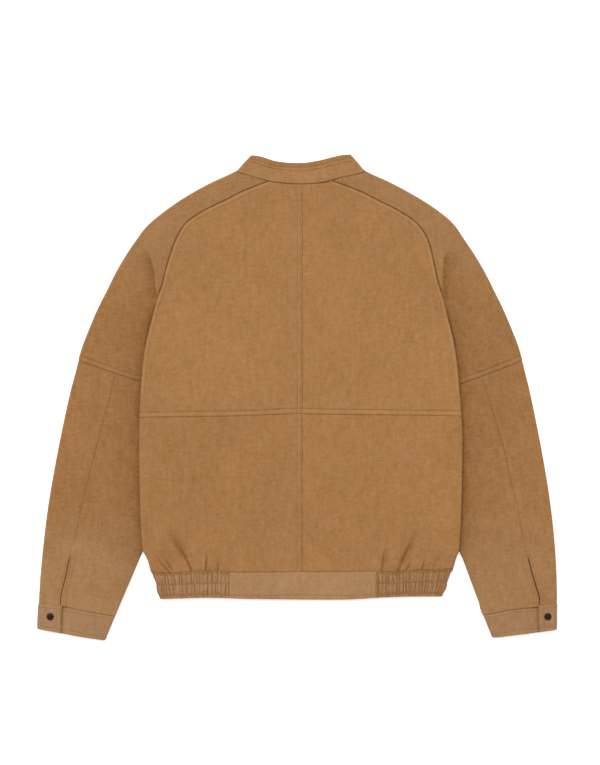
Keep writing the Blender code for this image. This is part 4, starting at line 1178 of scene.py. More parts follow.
def front_panel(side, word):
    cloth, edge = Cloth(side), front_edge(side)

    def height(d, y):
        return lift(d, y) + lap_rise(side, d)

    top_y, top_d = FRONT_EDGE[0]
    for y_edge in top_y - spaced(top_y - (HEM_TOP_Y + SEAM), 6.0, start=1.0, end=1.0):
        dip = max(0.0, (y_edge - NECK_ROWS_END_Y) / (top_y - NECK_ROWS_END_Y))

        def y_at(d):
            return y_edge - dip * (top_y - front_neck_y(top_d * np.abs(d) / edge(y_edge)))

        body_row(cloth, -LAP, y_edge, y_at, edge, height, -1, front_allowance, FRONT_COLUMNS)
    cloth.settle()
    cloth.seam(FRONT_RAGLAN[side], (), above=False, weight=smooth((cloth.y - 75) / 20))
    if side < 0:
        cloth.seam([(LAP, 290.0), (LAP, HEM_TOP_Y)], (8.0,), above=False)
    cloth.creases(FRONT_FOLDS[side], above=False, rim=0.0)
    press_allowance(cloth)
    return cloth.make(f"front_suede_{word}", BODY_SUEDE, "body suede")


fronts = {}
for side, word in SIDES:
    fronts[side] = front_panel(side, word)
    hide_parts(f"front_{word}")
    tell(fronts[side])

# %% [markdown]
# ## The sleeves
# A sleeve laid flat is a flattened tube. Its rows run from the raglan seam, or lower down from the fold hidden
# under the body, across the crown to the outer fold, and back along the surface. Where the raglan seam
# dives under the arm the suede bunches into a tongue with a soft drop beyond it.

# %% Sleeve rows
OUTER_STEPS = 10                # faces round an outer fold
ARC_STEPS = 6                   # and round the roll of an inner one
UNDER_COLUMNS = 26              # places across each piece's underside and top
UPPER_COLUMNS, INNER_COLUMNS, OUTER_COLUMNS = 54, 44, 30


class SleeveRow:
    """A section across a sleeve, from its inner end at the raglan seam or hidden fold to its outer fold.

    q is the distance along it from the inner end; each method gives points and outward directions for Cloth.row.
    """

    def __init__(self, side, inner_y, outer_y, front_y=None, sag=0.0, bow=0.0):
        self.side, self.sag, self.bow = side, sag, bow
        self.inner = self.front = np.array((float(sleeve_inner(side, inner_y)), inner_y))
        self.lean = 1.0
        if inner_y >= UNDERARM_Y and front_y is not None:
            edge, front = body_edge(side), front_edge(side)
            self.lean = slant(edge, inner_y)
            self.inner = np.array((float(edge(inner_y)) + SEAM * self.lean, inner_y))
            self.front = np.array((float(front(front_y)) + SEAM * slant(front, front_y), front_y))
        outer = np.array((float(sleeve_outer(side, outer_y)), outer_y))
        closed = float(smooth((RAGLAN_END_Y - inner_y) / (RAGLAN_END_Y - UNDERARM_Y)))
        slope = float(sleeve_outer(side, outer_y - 4) - sleeve_outer(side, outer_y + 4)) / 8
        self.normal = np.array((1.0, slope)) / math.hypot(1, slope)
        self.radius = 0.5 * SLEEVE_EDGE
        self.centre = outer - self.normal * self.radius
        self.length = math.dist(self.inner, self.centre)
        self.along = (self.centre - self.inner) / self.length
        self.fold = 0.5 * float(tucked_height(inner_y))
        self.turn = max(0.0, 0.5 * math.pi * closed - SEAM / self.fold)
        self.roll = ROLL * math.cos(self.turn) * min(self.lean, 2.0)
        self.start = self.fold * math.sin(self.turn) + self.roll + (SEAM if closed >= 1 else 0.0)

    def on_top(self, q):
        d, y = self.inner[0] + self.along[0] * q, self.inner[1] + self.along[1] * q
        moved = bowed(self.side, np.clip(q / self.length, 0, 1), self.sag, self.bow)
        moved = moved + neck_rise(self.side * d) * bump((NECK_END_Y - self.inner[1]) / 20)
        return d, y + moved, sleeve_z(d, y, self.length - q)

    def seam_q(self):
        """Where the row crosses the lengthwise seam, found by stepping closer and closer to it."""
        q = 0.6 * self.length
        for _ in range(14):
            y = self.inner[1] + self.along[1] * q
            q = float(sleeve_seam[self.side](y) - self.inner[0]) / self.along[0]
        return q

    def inner_arc(self):
        step = np.arange(ARC_STEPS, 0, -1) / ARC_STEPS
        angle = self.turn * step
        top = self.on_top(np.array([self.start]))[2][0]
        q = self.start - self.fold * np.sin(angle) - self.roll * step
        return (*self.on_top(q)[:2], top - self.fold * (1 - np.cos(angle)),
                -self.along[0] * np.sin(angle), -self.along[1] * np.sin(angle), np.cos(angle))

    def top(self, q):
        return (*self.on_top(q), 0.0, 0.0, 1.0)

    def outer_fold(self):
        angle = math.pi * np.arange(1, OUTER_STEPS) / OUTER_STEPS
        facing = self.normal[:, None] * np.sin(angle)
        return (self.centre[0] + self.radius * facing[0], self.centre[1] + self.radius * facing[1],
                self.radius * (1 + np.cos(angle)), facing[0], facing[1], np.cos(angle))

    def bottom(self):
        length = math.dist(self.centre, self.front)
        along = (self.front - self.centre) / length
        end = length - self.start
        flat = end * np.linspace(0, 1, UNDER_COLUMNS)
        step = np.arange(1, ARC_STEPS + 1) / ARC_STEPS
        angle = self.turn * step
        q = end + self.fold * np.sin(angle) + self.roll * step
        q, angle = np.concatenate((flat, q)), np.concatenate((0 * flat, angle))
        return (self.centre[0] + along[0] * q, self.centre[1] + along[1] * q, self.fold * (1 - np.cos(angle)),
                along[0] * np.sin(angle), along[1] * np.sin(angle), -np.cos(angle))


def crowded(start, end, count, at_start=0.0, at_end=0.0):
    """This many places from start to end, crowded where one of them is a sewn edge."""
    return start + spaced(end - start, start=at_start, end=at_end, count=count)


row_above = SleeveRow(-1, 200.0, 208.3, 192.0)
print("sleeve row at y 200:", round(row_above.length), "mm to its outer fold")

# %% [markdown]
# The three sleeve pieces share these rows. The lower sleeve is split along a seam that opens into the
# cuff vent, and the inner piece is stitched down twice beside it.

# %% Sleeve tables and folds
outer_of_upper, front_of_upper, outer_of_lower = {}, {}, {}
for side, word in SIDES:
    above, below = sleeve_rows(side)
    outer_of_upper[side] = curve([row[:2] for row in above])
    front_of_upper[side] = curve([(row[0], row[2]) for row in above])
    outer_of_lower[side] = curve(below)

TONGUE = {  # the fold beside the raglan seam, above the underarm
    -1: ((-249.3, 241), (-243, 226), (-238.4, 215.7), (-235.8, 203.7), (-233.3, 180.5), (-230.9, 164.5),
         (-232, 150)),
    1: ((234.7, 241), (231.6, 228), (229.4, 218), (228.6, 203), (228.2, 188), (228.6, 170), (229.6, 161),
        (232, 148)),
}
SLEEVE_FOLDS = {  # soft troughs on the sleeves: lines (s, y), width and depth
    -1: (
        (((-254, 232), (-249.5, 212), (-246, 194)), 5.5, 0.9),
        (((-268, 128), (-262, 96), (-262, 60)), 9.0, 0.8),
        (((-300, -20), (-285, -80), (-279, -140)), 13.0, 0.7),
        (((-262, -20), (-268, -70), (-271, -110)), 6.0, 0.6),
        (((-345, -120), (-338, -180)), 10.0, 0.45),
    ),
    1: (
        (((250, 236), (246, 214), (246, 190)), 6.5, 0.8),
        (((262, 140), (258, 100), (260, 66)), 9.0, 0.8),
        (((296, -10), (284, -78), (280, -150)), 13.0, 0.7),
        (((330, 150), (318, 110)), 12.0, 0.4),
        (((262, -150), (266, -200)), 6.0, 0.5),
    ),
}
UNDER_FOLDS = {  # the same on their undersides
    -1: ((((-290, 130), (-300, 70)), 9, 0.9), (((-330, -60), (-340, -130)), 10, 0.8),
         (((-300, -190), (-320, -250)), 8, 0.7)),
    1: ((((296, 120), (306, 66)), 9, 0.9), (((322, -40), (334, -120)), 10, 0.8),
        (((306, -180), (322, -236)), 8, 0.7)),
}

print("folds on the sleeves:", sum(len(folds) for folds in SLEEVE_FOLDS.values()))

# %% [markdown]
# Each piece gets what its sleeve shares, then its own seams and stitch rows.

# %% Sleeve pieces
def settle_sleeve(cloth, side):
    """What all pieces of a sleeve share: the painted shade beside the body, its soft folds and its calm unevenness.
    """
    cloth.settle()
    out = np.maximum(np.abs(cloth.s) - body_edge(side)(np.maximum(cloth.y, -240)), 0)
    below = smooth((196 - cloth.y) / 70) * smooth((cloth.y + 350) / 60)
    # Painted shade where the sleeve sinks beside the body's edge.
    sunk = (0.70 - 0.03 * side) * np.exp(-out / 8) + (0.46 - 0.03 * side) * np.exp(-out / 38)
    cloth.mark("shade", sunk * below * cloth.facing(True))
    cloth.creases(SLEEVE_FOLDS[side], rim=0.2)
    cloth.creases(UNDER_FOLDS[side], above=False, rim=0.0)
    cloth.unevenness(80, 30, 51)
    cloth.seam(CROSS_SEAM[side], (), groove=0.6, seed=13)
    cloth.seam(CROSS_SEAM[side], (), above=False)


def upper_sleeve(side, word):
    cloth = Cloth(side)
    last = CROSS_ENDS[side][0]
    for inner_y in NECK_END_Y - spaced(NECK_END_Y - last, 3.2, start=0.8, end=1.4):
        open_seam = SEAM * float(smooth(1 - (inner_y - last) / 20))
        outer_y, front_y = (float(line[side](inner_y)) + open_seam for line in (outer_of_upper, front_of_upper))
        row = SleeveRow(side, inner_y + open_seam, outer_y, front_y, sag=CROSS_SAG * bump((inner_y - last) / 40))
        steps = AFTER_ROLL * min(row.lean, 2.0, row.length / 40)
        rest = np.linspace(row.start + steps[-1], row.length, UPPER_COLUMNS)[1:]
        cloth.row(row.inner_arc(), row.top(np.concatenate(([row.start], row.start + steps, rest))),
                  row.outer_fold(), row.bottom())
    settle_sleeve(cloth, side)
    cloth.seam(RAGLAN[side], (), weight=smooth((cloth.y - 150) / 20), seed=5)
    cloth.seam(CROSS_SEAM[side], (CROSS_ROW,), groove=0.0, ridge=0.4, seed=13, dark=0.8)
    cloth.seam(FRONT_RAGLAN[side], (), above=False)
    cloth.fold(TONGUE[side], 2.3, 14.0, side)
    cloth.mark("painted_highlight_and_tone", 0.5 * smooth((cloth.y - 120) / 150) * smooth(2 * cloth.up))
    cloth.sew(cloth.along, cloth.across, (), weight=smooth(2 * cloth.up), groove=0.7)
    return cloth.make(f"sleeve_upper_suede_{word}", SLEEVE_SUEDE, "sleeve suede")


def lower_sleeve(side, word):
    first, last = CROSS_ENDS[side][0], LOWER_SLEEVE_ROWS[-1][0] + CUFF_TOP_SHIFT[side][0]
    inner, outer = Cloth(side), Cloth(side)
    for inner_y in first - spaced(first - last, 3.2, start=1.05, end=1.0):
        open_seam = SEAM * float(smooth(1 - (inner_y - last) / 20) - smooth(1 - (first - inner_y) / 20))
        row = SleeveRow(side, inner_y + open_seam, float(outer_of_lower[side](inner_y)) + open_seam,
                        sag=CROSS_SAG * bump((first - inner_y) / 40), bow=bump((inner_y - last) / 30))
        seam = row.seam_q()
        gap = float(mix(SEAM, VENT_HALF_WIDTH[side], smooth((VENT_Y - row.on_top(seam)[1]) / 12)))
        inner.row(row.inner_arc(), row.top(crowded(row.start, seam - gap, INNER_COLUMNS, at_end=1.0)))
        q = crowded(seam + gap, row.length, OUTER_COLUMNS, at_start=1.0)
        d, y, *rest = row.top(q)
        lifted = TAB_LIFT[side] * (row.length - q) / (row.length - seam) * bump((inner_y - last) / 22)
        outer.row((d, y + lifted, *rest), row.outer_fold(), row.bottom())
    pieces = []
    for cloth, label in ((inner, "inner"), (outer, "outer")):
        settle_sleeve(cloth, side)
        at_vent = smooth((VENT_Y + 2 - cloth.y) / 6) * (0.85 if side < 0 else 1.0)
        closed = 0.36 - 0.16 * bump((cloth.y - VENT_Y - 14) / 12)
        cloth.seam(LENGTH_SEAM[side], (), groove=mix(closed, 1.0, at_vent), seed=15)
        stitched = 0.8 * smooth((VENT_Y + 12 - cloth.y) / 6)
        cloth.seam(LENGTH_SEAM[side], VENT_ROWS[label], groove=0.0, weight=stitched, ridge=0.3, dark=0.3)
        if label == "outer":
            cloth.seam(LENGTH_SEAM[side], (9.0,), groove=0.0, weight=0.35 * smooth((cloth.y + 90) / 60), ridge=0.3)
        cloth.seam(CUFF_SEAM[side], (), groove=0.12, seed=17)
        to_cuff = smooth((-150 - cloth.y) / 130)
        cloth.mark("painted_highlight_and_tone", (0.95 if side < 0 else 0.75) * to_cuff)
        cloth.mark("shade", (0.02 + 0.06 * side) * to_cuff)
        cloth.seam(CUFF_SEAM[side], (), above=False)
        pieces.append(cloth.make(f"sleeve_lower_{label}_suede_{word}", SLEEVE_SUEDE, "sleeve suede"))
    return pieces


sleeves = {}
for side, word in SIDES:
    sleeves[side, "upper"] = upper_sleeve(side, word)
    sleeves[side, "inner"], sleeves[side, "outer"] = lower_sleeve(side, word)
    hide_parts(f"sleeve_upper_{word}")
    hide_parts(f"sleeve_lower_inner_{word}")
    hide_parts(f"sleeve_lower_outer_{word}")
for piece in sleeves.values():
    tell(piece)

# %% [markdown]
# ## The cuffs
# A cuff is a doubled band wound once round the sleeve's end, its tab lapped over and snapped. So its section is
# a spiral: it starts under the tab, crosses the top, folds, comes back below, folds again and ends as the tab.

# %% Cuffs
CUFF_ROWS = (  # inner d, inner y, outer d, outer y
    (297.0, -349.8, 420.2, -332.8), (302.6, -363.0, 421.2, -346.0), (308.1, -376.0, 422.0, -359.4),
    (313.1, -388.2, 422.2, -371.8),
)
CUFF_LENGTH = 39.0
CUFF_LAPS = {-1: (39.2, 39.6), 1: (31.2, 28.2)}       # how far the tab laps over, at its top and at its bottom
CUFF_CORNERS = (2.7, 1.5)                             # radii of the lower corners, inner and outer
CUFF_LOW_SAG = {-1: 1.0, 1: 0.8}
CUFF_FLARE = 1.5                                      # how much wider the right cuff is at its bottom
CUFF_UNDERLAP = 14.0
CUFF_LOW_Z = 2 * BAND + LAYER
CUFF_TAB_Z = 3 * BAND + 2 * LAYER
CUFF_CROWN_Z = 7.0
CUFF_INNER_FOLD = 3.3                                 # radius of the fold at its inner end
SNAP_D, SNAP_Y = {-1: 400.9, 1: 395.2}, -351.7
SNAP_RADIUS = 5.6
CUFF_TONE = {-1: ("painted_highlight_and_tone", 0.22), 1: ("shade", 0.13)}
cuff_lines = [curve(list(zip((0, 1 / 3, 2 / 3, 1), values))) for values in zip(*CUFF_ROWS)]


def snap_place(side):
    """The middle of a snap, as s and y."""
    return side * SNAP_D[side], SNAP_Y


def cuff_row(side, v):
    """Where one row round a cuff turns back, as inner d and y and outer d and y, and how far its tab laps."""
    inner_d, inner_y, outer_d, outer_y = (float(line(v)) for line in cuff_lines)
    if side > 0:
        inner_d = inner_d - float(inner_drawn_in(inner_y)) - CUFF_FLARE * v
        outer_d = outer_d - float(outer_drawn_in(outer_y))
    rise = CUFF_LENGTH * (1 - v)
    rounded = [r - math.sqrt(r * r - max(0.0, r - rise) ** 2) for r in CUFF_CORNERS]
    shifts = [mix(top, low, v) for top, low in zip(CUFF_TOP_SHIFT[side], CUFF_LOW_SHIFT[side])]
    return (inner_d + rounded[0], inner_y + shifts[0], outer_d - rounded[1], outer_y + shifts[1],
            mix(*CUFF_LAPS[side], v))


def tab_lift(side, q, lap, v):
    """How far a place on the tab, this far from the outer fold, stands above the rest of the cuff."""
    return TAB_LIFT[side] * q / lap * (1 - v) ** 2


def cuff_bow(side, v, share):
    """How far the rows of a cuff bow upwards at its top, as the sleeve's end does, and downwards at its bottom."""
    at_top = (bowed(side, share, 0.0, 1.0) + 0.3 * share) * bump(v * CUFF_LENGTH / 30)
    return at_top - CUFF_LOW_SAG[side] * 4 * share * (1 - share) * v * v


def cuff(side, word):
    cloth = Cloth(side, BAND)
    for v in spaced(CUFF_LENGTH, 1.9, start=1.0, end=1.0) / CUFF_LENGTH:
        inner_d, inner_y, outer_d, outer_y, lap = cuff_row(side, v)
        length = math.dist((inner_d, inner_y), (outer_d, outer_y))
        in_d, in_y = (inner_d - outer_d) / length, (inner_y - outer_y) / length

        def part(q, z, n_along=0.0, nz=1.0, lifted=0.0):
            bow = cuff_bow(side, v, 1 - np.clip(q / length, 0, 1)) * smooth(0.5 + 0.5 * np.asarray(nz))
            y = outer_y + in_y * q + bow + lifted - SEAM
            return outer_d + in_d * q, y, z, in_d * n_along, in_y * n_along, nz

        start = length - CUFF_INNER_FOLD
        crown = lap + 20
        under = np.linspace(CUFF_UNDERLAP, lap, 7)[:-1]
        q = np.linspace(lap, start, 38)
        z = mix(CUFF_LOW_Z, CUFF_CROWN_Z, smooth((q - lap) / 20))
        z = mix(z, 2 * CUFF_INNER_FOLD, smooth((q - crown) / (start - crown)))
        angle = math.pi * np.arange(1, OUTER_STEPS) / OUTER_STEPS
        tab_radius = 0.5 * CUFF_TAB_Z
        back = angle[::-1]
        tab = tab_radius + crowded(0, lap - tab_radius, 24, at_end=1.0)
        cloth.row(
            part(under, CUFF_LOW_Z), part(q, z),
            part(start + CUFF_INNER_FOLD * np.sin(angle), CUFF_INNER_FOLD * (1 + np.cos(angle)), np.sin(angle),
                 np.cos(angle)),
            part(np.linspace(start, tab_radius, 26), 0.0, 0.0, -1.0),
            part(tab_radius * (1 - np.sin(back)), tab_radius * (1 + np.cos(back)), -np.sin(back), np.cos(back)),
            part(tab, CUFF_TAB_Z, lifted=tab_lift(side, tab, lap, v)),
        )
    cloth.settle()
    total = cloth.along[-1:]
    above = smooth(2 * cloth.up)
    from_end = cloth.across[:, -1:] - cloth.across
    for gap, along, row, groove, seed, pale in (
        (cloth.along, cloth.across, CUFF_ROWS_FROM[0], 0.36, 61, 0.5),
        (total - cloth.along, cloth.across, CUFF_ROWS_FROM[1], 0.2, 62, 0.4),
        (from_end, cloth.along, TAB_ROW, 0.42, 63, 0.1),
    ):
        cloth.sew(gap, along, (row,), weight=above, ridge=0.2, groove=groove, seed=seed, pale=pale, dark=0.22)
    # Painted shade along the free end of the tab.
    cloth.mark("shade", (0.22 - 0.08 * side) * smooth((4.2 - from_end) / 1.4) * above)
    snap_s, snap_y = snap_place(side)
    gap = np.hypot(cloth.s - snap_s, cloth.y - snap_y)
    cloth.relief -= 0.5 * smooth((8.8 - gap) / 3.6) * above
    # A painted highlight ring round the snap, and painted shadow close round its cap.
    cloth.mark("painted_highlight_and_tone", 0.7 * bump((gap - 7.6) / 1.6) * above)
    cloth.mark("shade", 0.7 * bump(np.maximum(gap - SNAP_RADIUS, 0) / 1.0) * above)
    # Painted shade where the cuff runs in under the tab's end.
    beside_tab = (cloth.up > 0.9) * (from_end > 60)
    past_tab = (cloth.across - CUFF_LAPS[side][0] + CUFF_UNDERLAP) * beside_tab
    cloth.mark("shade", 0.8 * bump(past_tab / 2.0) * beside_tab)
    cloth.mark(*CUFF_TONE[side])
    middle = above * smooth(cloth.along / 8) * smooth((total - cloth.along) / 8)
    cloth.relief += middle * (0.18 * swell(cloth.s, cloth.y, 14, 64) + 0.1)
    return cloth.make(f"cuff_suede_{word}", CUFF_SUEDE, "band suede")


cuffs = {}
for side, word in SIDES:
    cuffs[side] = cuff(side, word)
    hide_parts(f"cuff_{word}")
    tell(cuffs[side])

# %% [markdown]
# ## The snaps
# A snap cap is pressed from sheet metal: a rolled rim, a narrow channel and a shallow dome. It is round, so it
# is turned from its profile, and dark enamel finishes it, with a paler brown painted on the top of its rim and,
# fainter, on the dome's top, as wear and as painted highlight.

# %% Snap caps
SNAP_PROFILE = (  # radius, height above the tab
    (0.0, -0.6), (5.1, -0.6), (5.4, -0.2), (5.6, 0.5), (5.5, 1.1), (5.15, 1.45), (4.7, 1.5), (4.3, 1.3),
    (4.0, 1.2), (3.75, 1.3), (3.1, 1.7), (2.15, 2.05), (1.05, 2.22), (0.0, 2.28),
)
SNAP_AROUND = 40

SNAP_ENAMEL, tree, shader = principled("snap enamel")
coords = node(tree, "ShaderNodeTexCoord").outputs["Object"]
speck = noise(tree, coords, 1800.0, 3.0, 0.6)
patch = noise(tree, coords, 420.0, 2.0, 0.5)
edge = node(tree, "ShaderNodeAttribute", attribute_name="painted_highlight_and_tone").outputs["Fac"]
# A paler brown on the top of the rim, and fainter on the dome's top: painted highlight and wear.
paler_rim = maths(tree, "MULTIPLY", edge, maths(tree, "MULTIPLY", patch, 1.1), clamp=True)
enamel = blend_colour(tree, speck, (0.008, 0.0035, 0.0035, 1.0), (0.018, 0.009, 0.008, 1.0))
link(tree, blend_colour(tree, paler_rim, enamel, (0.050, 0.027, 0.020, 1.0)), shader.inputs["Base Color"],
     maths(tree, "ADD", 0.34, maths(tree, "MULTIPLY", speck, 0.2)), shader.inputs["Roughness"])
fill(shader, Metallic=0.1, Specular_IOR_Level=0.2)


def snap(side, word):
    """One cap: a ring of points for each place on the profile, and a single one at each end."""
    s, y = snap_place(side)
    centre_x, centre_y = CENTRE_X + s, CENTRE_Y + y
    rings = SNAP_PROFILE[1:-1]
    points = [(centre_x, centre_y, CUFF_TAB_Z + SNAP_PROFILE[0][1])]
    # Where the paler brown goes: painted highlight and wear on the rim's top, fainter on the dome's top.
    highlight_and_wear = [0.0]
    for radius, height in rings:
        for i in range(SNAP_AROUND):
            angle = 2 * math.pi * i / SNAP_AROUND
            points.append((centre_x + radius * math.cos(angle), centre_y + radius * math.sin(angle),
                           CUFF_TAB_Z + height))
            highlight_and_wear.append(1.0 if SNAP_RADIUS - 0.9 < radius < SNAP_RADIUS and height > 1 else 0.0)
    points.append((centre_x, centre_y, CUFF_TAB_Z + SNAP_PROFILE[-1][1]))
    highlight_and_wear.append(0.15)
    faces = []
    for i in range(SNAP_AROUND):
        j = (i + 1) % SNAP_AROUND
        faces.append((0, 1 + j, 1 + i))
        for ring in range(len(rings) - 1):
            low, high = 1 + ring * SNAP_AROUND, 1 + (ring + 1) * SNAP_AROUND
            faces.append((low + i, low + j, high + j, high + i))
        faces.append((high + i, high + j, len(points) - 1))
    mesh = bpy.data.meshes.new(f"snap_cap_{word}")
    mesh.from_pydata([[v * MM for v in p] for p in points], [], faces)
    mesh.attributes.new("painted_highlight_and_tone", "FLOAT", "POINT").data.foreach_set("value", highlight_and_wear)
    mesh.materials.append(SNAP_ENAMEL)
    mesh.shade_smooth()
    mesh.set_sharp_from_angle(angle=math.radians(50))
    piece = put(f"snap_cap_{word}", mesh)
    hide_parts(f"cuff_snap_{word}")
    return piece


snaps = {side: snap(side, word) for side, word in SIDES}
print("snap caps:", [piece.name for piece in snaps.values()])

# %% [markdown]
# ## The collar
# The collar is one doubled band that stands round the neck and here lies flattened: its back on top, its two
# ends underneath, with a rounded fold at each side. It is padded a little and stitched along both edges.

# %% Collar
COLLAR_FRONT_TOP_Y = 304.0
COLLAR_SEAM_END, COLLAR_TOP_END = (102.3, 361.6), {-1: (79.7, 386.6), 1: (79.7, 388.0)}
COLLAR_FOLD_HOLLOW = -0.3
COLLAR_WIDTH = 40.0
COLLAR_COLUMNS = (41, 46)       # across half of its back and half of its front
COLLAR_Z = 8.2
COLLAR_DROOP = 4.4              # the free edge at the middle of the neck, with nothing under it, sinks by this much


def back_seam_y(s):
    """The back's neck seam, which the collar's lower edge covers."""
    d = np.abs(s)
    edge_y, edge_d = BACK_EDGE[0]
    flat = np.where(d < edge_d, NECK_Y + NECK_DIP * (d / edge_d) ** 2, edge_y + (d - edge_d) * 0.24)
    return flat + neck_rise(s) - 0.15


def front_top_y(side, d):
    """The collar's free edge at the front, under the back one."""
    end_d, end_y = COLLAR_TOP_END[side]
    return COLLAR_FRONT_TOP_Y + (end_y - COLLAR_FRONT_TOP_Y) * (d / end_d) ** 2


def collar():
    cloth = Cloth(1, BAND)
    radius = 0.5 * COLLAR_Z
    seam_d, seam_y = COLLAR_SEAM_END

    def square(side, v):
        """The direction outwards at one end: square to the fold, but along the edge at the top corner."""
        top_d, top_y = COLLAR_TOP_END[side]
        direction = mix(np.array((top_y - seam_y, seam_d - top_d)), np.array((34.0, 4.0)), smooth((v - 0.7) / 0.3))
        return direction / math.hypot(*direction)

    def centre(side, v):
        top_d, top_y = COLLAR_TOP_END[side]
        d = mix(seam_d, top_d, v) - COLLAR_FOLD_HOLLOW * 4 * v * (1 - v)
        return np.array((d, mix(seam_y, top_y, v))) - square(side, v) * radius

    def between(side, v, a, first_d, low_line, high_line):
        """Points between the collar's two edge lines, at shares a from d = first_d to the fold, which they meet."""
        low_end, high_end = centre(side, 0)[0], centre(side, 1)[0]
        end_d, end_y = centre(side, v)
        y = mix(low_line(mix(first_d, low_end, a)), high_line(mix(first_d, high_end, a)), v)
        line_end = mix(low_line(low_end), high_line(high_end), v)
        return mix(first_d, end_d, a), y + (end_y - line_end) * a ** 4

    back_share, front_share = np.linspace(1, 0, COLLAR_COLUMNS[0]), np.linspace(0, 1, COLLAR_COLUMNS[1])
    angle = math.pi * np.arange(OUTER_STEPS - 1, 0, -1) / OUTER_STEPS
    for v in spaced(COLLAR_WIDTH, 1.7, start=1.0, end=1.0) / COLLAR_WIDTH:
        halves = []
        for side in (-1, 1):
            front_d, front_y = between(side, v, front_share, -LAP, lambda d: front_neck_y(np.abs(d)) + 0.9,
                                       lambda d: front_top_y(side, np.abs(d)))
            back_d, back_y = between(side, v, back_share, 0.0, lambda d: back_seam_y(side * d),
                                     lambda d: collar_top(side * d))
            back_high = COLLAR_Z - COLLAR_DROOP * smooth(v / 0.9) * smooth((0.78 - back_share) / 0.55)
            d, y = centre(side, v)
            facing = square(side, v)[:, None] * np.sin(angle)
            half = [(side * front_d, front_y, band_rise(side, front_d), 0.0, 0.0, -1.0),
                    (side * (d + radius * facing[0]), y + radius * facing[1], radius * (1 + np.cos(angle)),
                     side * facing[0], facing[1], np.cos(angle)),
                    (side * back_d, back_y, back_high, 0.0, 0.0, 1.0)]
            if side > 0:    # the right half is drawn from its other end, and shares the middle with the left one
                half = [tuple(np.broadcast_to(v, len(part[0]))[::-1] for v in part) for part in half[::-1]]
                half[0] = tuple(v[1:] for v in half[0])
            halves += half
        cloth.row(*halves)
    cloth.settle()
    total = cloth.along[-1:]
    on_top = smooth(0.5 + 2 * cloth.up)
    cloth.sew(cloth.along, cloth.across, (3.8,), weight=on_top, ridge=0.5, groove=0.7, seed=71, dark=0.15)
    # A painted highlight on the fold just above the seam.
    cloth.mark("painted_highlight_and_tone", 1.0 * bump((cloth.along - 2.3) / 1.3) * on_top)
    cloth.sew(total - cloth.along, cloth.across, COLLAR_TOP_ROWS, weight=on_top, ridge=0.05, groove=0.2, seed=72,
              pale=0.1)
    cloth.mark("shade", 0.34 * smooth((COLLAR_TOP_ROWS[0] - total + cloth.along) / 1.6) * on_top)
    cloth.relief += on_top * 0.35 * np.sin(math.pi * np.clip(cloth.along / total, 0, 1))
    cloth.relief += on_top * 0.15 * swell(cloth.across, cloth.along * 0.5, 16, 73)
    return cloth.make("collar_suede", COLLAR_SUEDE, "band suede")


collar_piece = collar()
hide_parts("collar")
tell(collar_piece)

# %% [markdown]
# ## The hem band
# The band is plain across the middle of the back and at both fronts. At the sides it is sewn to stretched
# elastic with three rows of stitches, and when the elastic shrinks the suede gathers into short uneven puffs,
# pinched at each row. The puffs are drawn gather by gather, each with its own width, height and slant.

# %% Plain hem bands
HEM_Z = 8.0
HEM_WIDTH = 42.4
ELASTIC_START_D = {-1: 114.9, 1: 120.3}


def hem_row(s, share):
    """A line along the hem band on the back, at this share of its height."""
    return mix(hem_seam(s), hem_bottom(s), share)


def low_row_share(s):
    """The share at which the plain band's one row of stitches lies."""
    return 0.88 - 0.05 * (1 - smooth(np.abs(s) / 118))


def plain_band(side, name, d, height, up):
    """One plain stretch of the band over the places d, facing up on the back and down at the front."""
    cloth = Cloth(side, BAND)
    top = hem_seam(side * d) if up > 0 else HEM_TOP_Y
    for share in spaced(HEM_WIDTH, 2.2, start=1.0, end=1.0) / HEM_WIDTH:
        cloth.row((d, mix(top - SEAM, hem_bottom(side * d), share), height(d), 0.0, 0.0, float(up)))
    cloth.settle()
    total = cloth.along[-1:]
    row_end = np.minimum(cloth.across, cloth.across[:, -1:] - cloth.across)
    cloth.sew(cloth.along, cloth.across, (), groove=0.6, seed=81)
    low = np.abs(cloth.along - low_row_share(cloth.s) * total)
    cloth.sew(low, cloth.across, (0.0,), weight=0.7, ridge=0.0, groove=0.0, seed=82)
    cloth.sew(total - cloth.along, cloth.across, (), groove=0.2)
    cloth.sew(row_end, cloth.along, (), groove=0.25, seed=83)
    cloth.relief += (up > 0) * (0.12 * swell(cloth.s, cloth.y, 18, 84) + 0.08)
    return cloth.make(name, BAND_SUEDE, "band suede")


band_end = {side: ELASTIC_START_D[side] - SEAM for side, word in SIDES}
across = crowded(-band_end[-1], band_end[1], 118, 1.0, 1.0)
hem_back = plain_band(1, "hem_band_back_suede", across, lambda d: HEM_Z + 0 * d, 1)
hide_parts("hem_band_back")
hem_fronts = {}
for side, word in SIDES:
    hem_fronts[side] = plain_band(
        side, f"hem_band_front_suede_{word}", crowded(-LAP, band_end[side], 60, 1.0, 1.0),
        lambda d: band_rise(side, d), -1)
    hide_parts(f"hem_band_front_{word}")
print("hem bands:", hem_back.name, [round(v, 3) for v in hem_back["cut"]])

# %% [markdown]
# Each gathered side folds round the jacket's edge from back to front, flat inside against the elastic.

# %% Gathered sides
ELASTIC_WALL = 3.0
ELASTIC_Z = 8.4
GATHERS = 46
GATHER_POINTS = 11
GATHER_DEPTH = 1.7
STITCH_SHARES = (0.075, 0.46, 0.88)     # stitch rows, as shares of the band's width
GATHER_SHARES = np.array([
    0, 0.015, 0.04, 0.06, 0.075, 0.09, 0.11, 0.14, 0.18, 0.23, 0.28, 0.33, 0.38, 0.42, 0.445, 0.46, 0.475, 0.5,
    0.54, 0.59, 0.64, 0.69, 0.74, 0.79, 0.83, 0.86, 0.88, 0.9, 0.925, 0.95, 0.98, 1.0])
LEANING = {-1: 20, 1: 11}               # the one gather on each side that leans far over
GATHER_DULL = {-1: 0.15, 1: 0.34}       # how much darker than the plain band each side is all over


